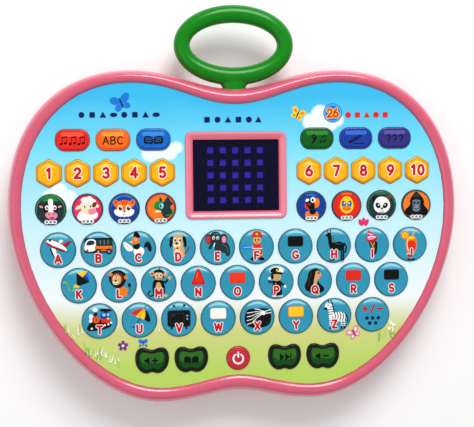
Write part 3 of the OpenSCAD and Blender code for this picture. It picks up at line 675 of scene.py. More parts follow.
def printing(name, body, shapes, x, y, base, scale=1.0):
    """Thin slabs of ink, each a little above the last, at (x, y) on the surface at height base."""
    points, faces, inks, ink_of = [], [], [], []
    for k, (ink, loop) in enumerate(shapes):
        high = base + LAYER * (k + 1)
        start = len(points)
        loop = loop if signed_area(loop) > 0 else loop[::-1]
        n = len(loop)
        points += [(x + px * scale, y + py * scale, high) for px, py in loop]
        points += [(x + px * scale, y + py * scale, base - LAYER) for px, py in loop]
        new = []
        for a, b, c in tessellate_polygon([[Vector((px, py, 0)) for px, py in loop]]):
            turn = (
                loop[b][0] - loop[a][0]
            ) * (loop[c][1] - loop[a][1]) - (loop[b][1] - loop[a][1]) * (loop[c][0] - loop[a][0])
            a, b, c = (a, b, c) if turn > 0 else (a, c, b)
            new += [(start + a, start + b, start + c), (start + n + a, start + n + c, start + n + b)]
        new += [(start + i, start + n + i, start + n + (i + 1) % n, start + (i + 1) % n) for i in range(n)]
        faces += new
        if ink not in inks:
            inks.append(ink)
        ink_of += [inks.index(ink)] * len(new)
    mesh = bpy.data.meshes.new(name)
    mesh.from_pydata([Vector(p) * MM for p in points], [], faces)
    for ink in inks:
        mesh.materials.append(ink_materials[ink])
    mesh.polygons.foreach_set("material_index", ink_of)
    made = bpy.data.objects.new(name, mesh)
    scene.collection.objects.link(made)
    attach(made, body)
    return made


def letter_mark(text):
    return write(text, "crimson", 0.42, 0, -0.5, 0.3, "white", 0.09)


def swatch(ink, edge):
    return [(edge, box(0, 0.28, 0.92, 0.62, 0.12)), (ink, box(0, 0.29, 0.87, 0.56, 0.1))]


PICTURES = {
    "a": [
        ("black", blob((-0.5, 0.14), (-0.3, 0.1), (-0.16, -0.44), (-0.3, -0.32))),
        ("white", blob((-0.42, 0.24), (-0.12, 0.14), (-0.04, -0.42), (-0.2, -0.4))),
        ("crimson", [(0.36, 0.14), (0.74, 0.52), (0.6, 0.54), (0.22, 0.3)]),
        ("black", line(0.05, (0.4, 0.14), (0.72, 0.48))),
        (
            "black",
            blob(
                (-0.74, 0.56), (-0.5, 0.7), (0.14, 0.46), (0.56, 0.1), (0.56, -0.1), (0.32, -0.1),
                (-0.5, 0.26)
            )
        ),
        (
            "white",
            blob(
                (-0.7, 0.55), (-0.48, 0.65), (0.12, 0.42), (0.52, 0.08), (0.52, -0.06), (0.34, -0.05),
                (-0.46, 0.3)
            )
        ),
        ("crimson", line(0.07, (-0.66, 0.46), (-0.3, 0.24), (0.36, -0.02))),
        ("black", line(0.03, (-0.6, 0.36), (-0.3, 0.16), (0.3, -0.07))),
        ("white", blob((0.02, 0.48), (0.14, 0.62), (0.34, 0.58), (0.2, 0.38))),
        ("black", oval(-0.44, 0.56, 0.09, 0.05, -20))
    ],
    "b": [
        ("black", box(0.02, 0.24, 1.6, 0.86, 0.12)),
        (
            "white",
            blob((-0.78, 0.3), (-0.6, 0.62), (-0.14, 0.6), (-0.12, 0.3), (-0.14, -0.1), (-0.78, -0.12))
        ),
        ("dark", blob((-0.68, 0.32), (-0.56, 0.54), (-0.2, 0.52), (-0.2, 0.28), (-0.66, 0.24))),
        ("orange", box(0.3, 0.06, 0.98, 0.3, 0.05)), ("dark", box(0.32, 0.42, 0.9, 0.3, 0.06)),
        *[("grey", line(0.03, (x, 0.54), (x, 0.3))) for x in (0.12, 0.34, 0.56)],
        ("brown", line(0.05, (-0.12, 0.02), (0.76, 0.02))), ("red", oval(-0.62, -0.04, 0.07)),
        ("cream", oval(-0.34, -0.04, 0.07)), ("black", oval(0.0, -0.12, 0.17)),
        ("black", oval(0.6, -0.12, 0.17)), ("grey", oval(0.0, -0.12, 0.08)), ("grey", oval(0.6, -0.12, 0.08))
    ],
    "c": [
        (
            "white",
            blob(
                (-0.86, 0.42), (-0.7, 0.4), (-0.3, 0.1), (-0.3, -0.12), (-0.6, -0.14), (-0.72, 0.02),
                (-0.84, 0.2)
            )
        ),
        ("grey", line(0.03, (-0.78, 0.28), (-0.5, 0.04))),
        (
            "black",
            blob((0.28, 0.0), (0.4, 0.4), (0.62, 0.44), (0.78, 0.1), (0.74, -0.2), (0.56, -0.1), (0.5, 0.14))
        ),
        ("white", blob((-0.3, 0.06), (0.1, 0.14), (0.36, 0.0), (0.3, -0.4), (-0.24, -0.42))),
        ("black", blob((-0.28, 0.3), (0.1, 0.34), (0.1, 0.04), (-0.1, -0.06), (-0.3, 0.06))),
        (
            "orange",
            blob((-0.36, 0.5), (-0.24, 0.72), (0.06, 0.66), (0.06, 0.34), (-0.2, 0.24), (-0.36, 0.34))
        ),
        ("black", blob((-0.3, 0.66), (-0.2, 1.02), (0.0, 0.96), (0.14, 0.7), (0.04, 0.6), (-0.2, 0.72))),
        ("yellow", [(-0.34, 0.48), (-0.54, 0.4), (-0.32, 0.34)]), ("white", oval(-0.14, 0.54, 0.06)),
        ("black", oval(-0.15, 0.54, 0.03)), ("tan", line(0.04, (-0.08, -0.34), (-0.1, -0.66))),
        ("tan", line(0.04, (0.16, -0.34), (0.18, -0.66)))
    ],
    "d": [
        ("tan", blob((-0.26, 0.2), (0.28, 0.2), (0.42, -0.3), (0.3, -0.62), (-0.24, -0.62), (-0.3, -0.2))),
        ("cream", oval(-0.02, -0.24, 0.16, 0.22)),
        ("brown", line(0.08, (0.4, -0.3), (0.58, -0.1), (0.6, 0.06))),
        ("tan", blob((-0.34, 0.66), (0.0, 0.86), (0.34, 0.66), (0.34, 0.2), (0.1, 0.04), (-0.3, 0.16))),
        *[
            ("black", p)
            for p in both(blob((0.24, 0.72), (0.46, 0.66), (0.52, 0.1), (0.38, 0.02), (0.3, 0.3)))
        ],
        ("cream", oval(-0.06, 0.2, 0.22, 0.18)), ("white", oval(-0.18, 0.48, 0.1, 0.12)),
        ("white", oval(0.1, 0.48, 0.1, 0.12)), ("black", oval(-0.16, 0.46, 0.06, 0.08)),
        ("black", oval(0.12, 0.46, 0.06, 0.08)), ("black", oval(-0.08, 0.28, 0.1, 0.07)),
        ("red", blob((-0.1, 0.1), (0.02, 0.1), (0.04, -0.08), (-0.1, -0.08)))
    ],
    "e": [
        (
            "dark",
            blob(
                (-0.1, 0.4), (0.4, 0.44), (0.72, 0.1), (0.74, -0.5), (0.52, -0.54), (0.44, -0.3), (0.2, -0.3),
                (0.12, -0.54), (-0.08, -0.5), (-0.2, 0.0)
            )
        ),
        ("steel", line(0.05, (0.3, 0.2), (0.56, 0.0), (0.6, -0.3))), ("dark", oval(-0.5, 0.5, 0.2, 0.28)),
        ("red", oval(-0.52, 0.48, 0.13, 0.2)), ("dark", oval(0.36, 0.5, 0.22, 0.3)),
        ("pink", oval(0.38, 0.46, 0.13, 0.2)), ("dark", oval(-0.1, 0.6, 0.34, 0.32)),
        ("steel", blob((-0.3, 0.7), (-0.04, 0.9), (0.2, 0.78), (0.0, 0.74))),
        ("dark", line(0.18, (-0.2, 0.42), (-0.34, 0.16), (-0.44, -0.02))),
        ("white", oval(-0.22, 0.56, 0.08, 0.1)), ("white", oval(0.02, 0.56, 0.08, 0.1)),
        ("black", oval(-0.21, 0.54, 0.04, 0.06)), ("black", oval(0.03, 0.54, 0.04, 0.06)),
        ("white", line(0.06, (-0.16, 0.24), (-0.22, 0.06)))
    ],
    "f": [
        (
            "blue",
            blob((-0.82, 0.02), (-0.7, 0.12), (-0.3, 0.1), (-0.26, -0.1), (-0.6, -0.16), (-0.84, -0.12))
        ),
        ("sky", line(0.04, (-0.74, -0.02), (-0.36, 0.0))),
        ("black", blob((-0.36, -0.6), (-0.04, -0.56), (-0.04, -0.8), (-0.36, -0.8))),
        ("black", blob((0.1, -0.56), (0.44, -0.62), (0.46, -0.8), (0.12, -0.8))),
        ("red", blob((-0.2, 0.24), (0.22, 0.24), (0.34, -0.2), (0.34, -0.66), (-0.22, -0.66), (-0.24, -0.1))),
        ("white", line(0.05, (-0.2, -0.1), (0.3, -0.1))),
        ("yellow", line(0.05, (-0.2, -0.46), (0.32, -0.46))), ("tan", oval(0.03, 0.4, 0.24, 0.24)),
        (
            "red",
            blob(
                (-0.42, 0.56), (-0.26, 0.66), (-0.2, 0.92), (0.24, 0.92), (0.32, 0.66), (0.48, 0.5),
                (0.2, 0.6), (-0.2, 0.6)
            )
        ),
        ("brown", line(0.04, (-0.3, 0.6), (0.36, 0.58))), ("yellow", oval(0.02, 0.74, 0.07)),
        ("black", oval(-0.07, 0.4, 0.04, 0.06)), ("black", oval(0.13, 0.4, 0.04, 0.06)),
        ("red", oval(0.03, 0.26, 0.06, 0.03)), ("tan", oval(-0.24, 0.0, 0.07))
    ],
    "g": swatch("black", "dark"),
    "h": [
        *[
            ("black", line(0.1, (x, 0.0), (x + d, -0.5), (x + d, -0.84))) for x,
            d in ((-0.2, 0.02), (-0.06, 0.03), (0.42, 0.02), (0.56, 0.0))
        ],
        *[("black", line(0.07, (x - 0.06, -0.86), (x + 0.1, -0.86))) for x in (-0.18, 0.46)],
        (
            "black",
            blob(
                (-0.3, 0.2), (0.0, 0.16), (0.3, 0.26), (0.62, 0.1), (0.6, -0.28), (0.2, -0.3), (-0.26, -0.28)
            )
        ),
        ("black", blob((-0.36, 0.8), (-0.16, 0.72), (-0.12, 0.2), (-0.06, -0.1), (-0.3, -0.1), (-0.36, 0.4))),
        ("black", blob((-0.52, 0.66), (-0.3, 0.76), (-0.24, 0.5), (-0.44, 0.5))),
        ("black", line(0.06, (-0.34, 0.7), (-0.4, 0.88))), ("black", line(0.06, (-0.22, 0.7), (-0.2, 0.9))),
        ("black", line(0.09, (0.6, 0.12), (0.74, -0.1), (0.66, -0.42))),
        ("brown", line(0.04, (-0.08, 0.56), (0.0, 0.3), (0.06, 0.14))),
        ("steel", line(0.03, (0.1, 0.1), (0.4, 0.08)))
    ],
    "i": [
        ("black", blob((-0.26, 0.3), (0.32, 0.26), (0.3, -0.3), (0.2, -0.6), (0.06, -0.58), (-0.14, -0.1))),
        ("brown", blob((-0.2, 0.26), (0.16, 0.24), (0.18, -0.3), (0.1, -0.5), (-0.06, -0.1))),
        ("tan", line(0.04, (-0.1, 0.14), (0.12, -0.26))), ("tan", line(0.04, (0.14, 0.14), (-0.02, -0.16))),
        ("crimson", blob((-0.42, 0.38), (-0.2, 0.66), (0.24, 0.6), (0.34, 0.34), (0.1, 0.16), (-0.3, 0.18))),
        ("pink", blob((-0.34, 0.4), (-0.16, 0.58), (0.2, 0.52), (0.2, 0.36), (-0.2, 0.26))),
        ("rose", blob((-0.34, 0.86), (-0.16, 0.84), (0.12, 0.64), (0.0, 0.5), (-0.28, 0.56), (-0.22, 0.74))),
        ("white", line(0.05, (-0.24, 0.44), (0.0, 0.5), (0.2, 0.46))),
        ("white", line(0.04, (-0.2, 0.66), (0.0, 0.6)))
    ],
    "j": [
        ("black", blob((-0.2, -0.84), (0.3, -0.84), (0.3, -0.94), (-0.2, -0.94))),
        ("grey", line(0.07, (0.04, -0.6), (0.04, -0.86))),
        (
            "orange",
            blob(
                (-0.2, 0.5), (0.3, 0.5), (0.42, 0.1), (0.34, -0.4), (0.14, -0.66), (-0.1, -0.62),
                (-0.26, -0.3), (-0.26, 0.2)
            )
        ),
        ("red", blob((-0.16, 0.2), (0.28, 0.22), (0.36, -0.1), (0.2, -0.54), (-0.08, -0.54), (-0.2, -0.1))),
        ("yellow", blob((-0.14, 0.46), (0.26, 0.46), (0.28, 0.3), (-0.14, 0.28))),
        ("cream", line(0.05, (-0.14, 0.34), (-0.2, 0.0), (-0.12, -0.4))), ("orange", oval(-0.32, 0.54, 0.24)),
        ("yellow", oval(-0.32, 0.54, 0.17)), ("orange", oval(-0.32, 0.54, 0.06)),
        ("yellow", line(0.05, (0.12, 0.46), (0.3, 0.86))), ("red", line(0.04, (0.3, 0.86), (0.5, 0.9)))
    ],
    "k": [
        ("yellow", [(-0.12, 0.76), (0.54, 0.84), (0.22, 0.48)]),
        ("black", [(-0.12, 0.76), (0.22, 0.48), (-0.12, 0.04)]),
        ("deep", [(0.22, 0.48), (0.54, 0.84), (0.6, 0.2)]),
        ("black", [(-0.12, 0.04), (0.22, 0.48), (0.6, 0.2), (0.1, 0.02)]),
        ("blue", [(0.4, 0.62), (0.56, 0.8), (0.58, 0.34)]),
        (
            "leaf",
            line(
                0.06, (-0.16, -0.02), (-0.34, -0.28), (-0.54, -0.22), (-0.6, 0.06), (-0.76, 0.24),
                (-0.88, 0.2)
            )
        ),
        ("green", line(0.03, (-0.4, -0.26), (-0.56, -0.1), (-0.66, 0.14))),
        (
            "yellow",
            blob((-0.3, 0.06), (-0.12, 0.08), (0.04, -0.02), (0.0, -0.16), (-0.14, -0.08), (-0.28, -0.12))
        )
    ],
    "l": [
        ("orange", blob((-0.06, -0.1), (0.34, -0.06), (0.56, -0.4), (0.4, -0.68), (0.0, -0.68))),
        ("brown", line(0.06, (0.5, -0.5), (0.66, -0.3), (0.6, -0.12))),
        ("black", oval(0.6, -0.02, 0.09, 0.12)),
        (
            "black",
            blob(
                (-0.6, 0.3), (-0.5, 0.7), (-0.2, 0.88), (0.2, 0.84), (0.48, 0.5), (0.36, 0.1), (0.1, -0.2),
                (-0.3, -0.14)
            )
        ),
        ("brown", blob((-0.5, 0.4), (-0.3, 0.7), (0.1, 0.74), (0.3, 0.4), (0.1, 0.0), (-0.3, 0.0))),
        ("orange", oval(-0.46, 0.62, 0.11)), ("orange", oval(0.4, 0.44, 0.11)),
        ("tan", oval(-0.12, 0.32, 0.26, 0.3)),
        ("orange", blob((-0.28, 0.56), (0.06, 0.56), (0.02, 0.36), (-0.26, 0.36))),
        ("cream", oval(-0.18, 0.14, 0.17, 0.13)), ("white", oval(-0.24, 0.42, 0.07)),
        ("white", oval(-0.02, 0.42, 0.07)), ("black", oval(-0.23, 0.41, 0.04)),
        ("black", oval(-0.01, 0.41, 0.04)), ("black", oval(-0.18, 0.24, 0.08, 0.05)),
        ("black", line(0.03, (-0.26, 0.1), (-0.18, 0.06), (-0.08, 0.1)))
    ],
    "m": [
        ("black", line(0.09, (-0.24, -0.6), (-0.5, -0.7), (-0.64, -0.54), (-0.5, -0.38))),
        ("black", blob((-0.3, 0.3), (0.2, 0.3), (0.4, -0.2), (0.3, -0.7), (-0.3, -0.74), (-0.38, -0.2))),
        ("black", line(0.13, (0.14, 0.16), (0.4, 0.1), (0.54, 0.3))),
        ("tan", oval(0.62, 0.36, 0.12, 0.1, 30)),
        ("tan", blob((-0.16, 0.12), (0.1, 0.12), (0.2, -0.3), (0.04, -0.6), (-0.2, -0.5))),
        ("tan", oval(0.36, -0.66, 0.15, 0.08)), ("black", oval(0.0, 0.56, 0.36, 0.3)),
        ("black", line(0.05, (0.02, 0.84), (0.08, 0.96))), ("tan", oval(-0.36, 0.6, 0.13)),
        ("tan", oval(0.38, 0.56, 0.12)), ("brown", oval(-0.37, 0.6, 0.06)),
        ("tan", blob((-0.26, 0.66), (0.0, 0.7), (0.26, 0.64), (0.22, 0.3), (0.0, 0.22), (-0.22, 0.3))),
        ("white", oval(-0.1, 0.52, 0.08, 0.1)), ("white", oval(0.12, 0.52, 0.08, 0.1)),
        ("black", oval(-0.09, 0.51, 0.045, 0.07)), ("black", oval(0.13, 0.51, 0.045, 0.07)),
        ("brown", line(0.03, (-0.08, 0.34), (0.02, 0.3), (0.12, 0.34)))
    ],
    "n": [
        (
            "crimson",
            blob(
                (-0.1, 0.84), (0.12, 0.84), (0.24, 0.4), (0.42, 0.04), (0.34, -0.1), (0.1, -0.06),
                (-0.06, -0.1), (-0.34, -0.08), (-0.4, 0.04), (-0.22, 0.4)
            )
        ),
        (
            "red",
            blob(
                (-0.06, 0.78), (0.08, 0.78), (0.18, 0.36), (0.34, 0.04), (0.1, 0.0), (-0.06, -0.04),
                (-0.32, 0.0), (-0.16, 0.36)
            )
        ),
        ("orange", line(0.05, (-0.02, 0.62), (-0.1, 0.3))), ("crimson", oval(-0.14, 0.0, 0.06, 0.03)),
        ("crimson", oval(0.2, 0.0, 0.06, 0.03))
    ],
    "o": swatch("scarlet", "crimson"),
    "p": [
        ("black", blob((-0.2, 0.1), (0.24, 0.1), (0.3, -0.3), (0.36, -0.84), (-0.3, -0.84), (-0.24, -0.3))),
        ("black", line(0.12, (-0.18, 0.0), (-0.44, -0.02), (-0.42, 0.16))), ("white", oval(-0.4, 0.2, 0.09)),
        ("black", line(0.12, (0.2, 0.0), (0.34, -0.14), (0.46, -0.24))),
        ("white", oval(0.5, -0.28, 0.09, 0.07, -40)), ("white", line(0.05, (-0.24, -0.84), (0.0, -0.84))),
        ("white", line(0.05, (0.1, -0.84), (0.36, -0.84))), ("tan", oval(0.02, 0.28, 0.26, 0.24)),
        ("black", oval(-0.24, 0.3, 0.08, 0.14)),
        (
            "white",
            blob((-0.44, 0.6), (-0.3, 0.84), (0.0, 0.92), (0.36, 0.82), (0.48, 0.56), (0.2, 0.5), (-0.3, 0.5))
        ),
        ("black", blob((-0.4, 0.56), (-0.3, 0.78), (0.0, 0.86), (0.2, 0.74), (0.1, 0.6), (-0.2, 0.54))),
        ("black", blob((-0.36, 0.54), (0.0, 0.6), (0.4, 0.54), (0.36, 0.4), (0.0, 0.46), (-0.34, 0.4))),
        ("yellow", oval(0.04, 0.68, 0.06)), ("leaf", oval(-0.08, 0.28, 0.05, 0.06)),
        ("leaf", oval(0.14, 0.28, 0.05, 0.06)), ("black", oval(-0.08, 0.27, 0.025)),
        ("black", oval(0.14, 0.27, 0.025)), ("red", line(0.03, (-0.02, 0.12), (0.08, 0.12))),
        ("yellow", oval(-0.04, -0.1, 0.03)), ("yellow", oval(-0.04, -0.26, 0.03))
    ],
    "q": [
        (
            "black",
            blob(
                (-0.02, 0.78), (0.3, 0.66), (0.34, 0.4), (0.1, 0.2), (0.2, -0.1), (0.62, -0.46), (0.4, -0.7),
                (0.0, -0.72), (-0.5, -0.6), (-0.66, -0.3), (-0.44, 0.1), (-0.4, 0.54)
            )
        ),
        (
            "tan",
            blob(
                (0.06, 0.62), (0.28, 0.58), (0.38, 0.36), (0.3, 0.14), (0.14, 0.08), (0.1, -0.3),
                (-0.12, -0.4), (-0.06, 0.1), (0.02, 0.4)
            )
        ),
        ("crimson", oval(0.22, 0.44, 0.08, 0.04)), ("crimson", oval(0.32, 0.22, 0.05, 0.03)),
        ("black", line(0.03, (0.16, 0.5), (0.28, 0.5))),
        ("black", blob((0.1, -0.1), (0.34, -0.2), (0.6, -0.46), (0.2, -0.66), (-0.1, -0.5))),
        ("brown", line(0.03, (-0.2, 0.5), (-0.34, 0.1), (-0.4, -0.3)))
    ],
    "r": swatch("red", "crimson"),
    "s": swatch("black", "dark"),
    "t": [
        (
            "black",
            blob(
                (-0.7, -0.3), (-0.4, 0.1), (0.6, 0.1), (0.74, -0.2), (0.5, -0.44), (-0.5, -0.6), (-0.74, -0.5)
            )
        ),
        ("red", blob((-0.42, 0.26), (0.0, 0.3), (0.06, -0.1), (-0.4, -0.14))),
        ("orange", oval(-0.18, 0.08, 0.13)), ("brown", oval(-0.18, 0.08, 0.07)),
        ("deep", blob((0.04, 0.5), (0.6, 0.56), (0.66, 0.1), (0.06, 0.06))),
        ("black", blob((-0.06, 0.6), (0.1, 0.72), (0.64, 0.7), (0.76, 0.56), (0.3, 0.52))),
        ("red", box(0.36, 0.02, 0.5, 0.24, 0.05)), ("yellow", oval(0.5, 0.14, 0.07)),
        ("sky", box(0.26, 0.36, 0.18, 0.16, 0.03)), ("sky", box(0.5, 0.37, 0.14, 0.16, 0.03)),
        ("black", blob((-0.34, 0.3), (-0.3, 0.5), (-0.1, 0.5), (-0.12, 0.28))),
        ("white", oval(-0.24, 0.66, 0.16, 0.12)), ("white", oval(-0.48, 0.28, 0.11, 0.14)),
        ("white", oval(-0.5, 0.04, 0.09, 0.12)),
        *[("black", oval(x, y, 0.13)) for x, y in ((-0.44, -0.42), (-0.1, -0.36), (0.22, -0.28))],
        *[
            ("white", oval(x, y, 0.06)) for x,
            y in ((-0.44, -0.42), (-0.1, -0.36), (0.3, -0.24), (0.5, -0.18), (0.66, -0.1))
        ]
    ],
    "u": [
        ("black", blob((0.34, 0.68), (0.52, 0.4), (0.66, 0.02), (0.56, -0.16), (0.4, -0.04), (0.26, 0.0))),
        ("red", blob((0.3, 0.72), (-0.1, 0.66), (-0.52, 0.42), (-0.56, 0.34), (-0.36, 0.38), (-0.2, 0.22))),
        (
            "yellow",
            blob(
                (0.32, 0.7), (0.06, 0.5), (-0.22, 0.22), (-0.12, 0.16), (0.1, 0.14), (0.26, -0.02),
                (0.36, 0.3)
            )
        ),
        ("orange", line(0.04, (0.26, 0.6), (0.08, 0.34), (0.0, 0.2))),
        ("black", line(0.04, (0.3, 0.68), (0.4, 0.84))),
        ("navy", line(0.05, (0.04, 0.12), (-0.1, -0.12), (-0.2, -0.34), (-0.34, -0.42), (-0.42, -0.34)))
    ],
    "v": [
        ("dark", box(0.0, 0.04, 1.34, 0.98, 0.16)), ("black", box(0.0, 0.05, 1.26, 0.9, 0.14)),
        ("dark", box(-0.1, 0.06, 0.82, 0.62, 0.12)), ("black", box(-0.1, 0.06, 0.76, 0.56, 0.1)),
        ("steel", line(0.03, (-0.4, 0.2), (-0.24, 0.26))), ("grey", oval(0.48, 0.2, 0.06)),
        ("grey", oval(0.48, 0.02, 0.06)), ("steel", line(0.03, (-0.06, 0.5), (-0.28, 0.74))),
        ("steel", line(0.03, (0.06, 0.5), (0.3, 0.76))), ("black", oval(-0.28, 0.78, 0.07)),
        ("black", oval(0.31, 0.8, 0.07)), ("black", line(0.1, (-0.4, -0.44), (-0.44, -0.54))),
        ("black", line(0.1, (0.4, -0.44), (0.44, -0.54)))
    ],
    "w": swatch("white", "cream"),
    "x": [
        (
            "black",
            blob(
                (-0.72, 0.3), (-0.5, 0.52), (0.5, 0.54), (0.8, 0.4), (0.82, -0.3), (0.5, -0.6), (-0.4, -0.62),
                (-0.76, -0.34)
            )
        ),
        *[
            (
                "white",
                line(
                    0.045, (0.3, 0.3 - k * 0.03), (-0.1, 0.34 - k * 0.14), (-0.3, 0.3 - k * 0.2),
                    (-0.6, 0.26 - k * 0.22)
                )
            )
            for k in range(4)
        ],
        ("white", line(0.05, (0.3, 0.34), (0.1, 0.46), (-0.14, 0.5))),
        ("white", oval(0.36, 0.26, 0.1, 0.14, 20)), ("white", line(0.05, (0.4, 0.32), (0.78, 0.44))),
        ("white", line(0.05, (0.42, 0.22), (0.8, 0.26))),
        *[("black", oval(0.14, 0.35 - k * 0.08, 0.02)) for k in range(4)],
        *[("black", oval(-0.18, 0.33 - k * 0.16, 0.02)) for k in range(4)]
    ],
    "y": swatch("yellow", "orange"),
    "z": [
        *[("white", line(0.1, (x, 0.0), (x, -0.72))) for x in (-0.26, -0.1, 0.42, 0.58)],
        *[("black", line(0.1, (x, -0.66), (x, -0.76))) for x in (-0.26, -0.1, 0.42, 0.58)],
        *[
            ("black", line(0.03, (x - 0.05, y), (x + 0.05, y))) for x in (-0.26, -0.1, 0.42, 0.58)
            for y in (-0.3, -0.42, -0.54)
        ],
        (
            "white",
            blob(
                (-0.36, 0.22), (0.0, 0.16), (0.4, 0.24), (0.72, 0.04), (0.68, -0.34), (0.2, -0.36),
                (-0.32, -0.3)
            )
        ),
        *[
            ("black", line(0.05, (x, 0.2 - abs(x - 0.2) * 0.1), (x + 0.06, -0.06), (x, -0.3)))
            for x in (-0.16, 0.0, 0.16, 0.32, 0.48, 0.62)
        ],
        (
            "white",
            blob((-0.34, 0.82), (-0.14, 0.7), (-0.08, 0.2), (-0.06, -0.06), (-0.34, -0.06), (-0.36, 0.3))
        ),
        *[("black", line(0.045, (-0.34, y), (-0.12, y + 0.04))) for y in (0.06, 0.2, 0.34, 0.48)],
        ("white", blob((-0.6, 0.4), (-0.52, 0.72), (-0.22, 0.76), (-0.24, 0.5), (-0.4, 0.36))),
        ("black", oval(-0.52, 0.42, 0.1, 0.08)), ("black", oval(-0.38, 0.62, 0.04)),
        ("black", line(0.05, (-0.3, 0.72), (-0.38, 0.9))), ("black", line(0.05, (-0.2, 0.72), (-0.2, 0.92))),
        ("black", line(0.05, (-0.14, 0.78), (-0.06, 0.5), (-0.02, 0.24))),
        ("black", line(0.05, (0.7, 0.04), (0.8, -0.2), (0.76, -0.4)))
    ],
}


def eyes(x, y, gap, r, pupil=0.55):
    return [
        ("white", oval(x - gap, y, r, r * 1.25)), ("white", oval(x + gap, y, r, r * 1.25)),
        ("black", oval(x - gap + r * 0.1, y - r * 0.1, r * pupil, r * pupil * 1.2)),
        ("black", oval(x + gap + r * 0.1, y - r * 0.1, r * pupil, r * pupil * 1.2)),
        ("white", oval(x - gap + r * 0.3, y + r * 0.25, r * 0.2)),
        ("white", oval(x + gap + r * 0.3, y + r * 0.25, r * 0.2))
    ]


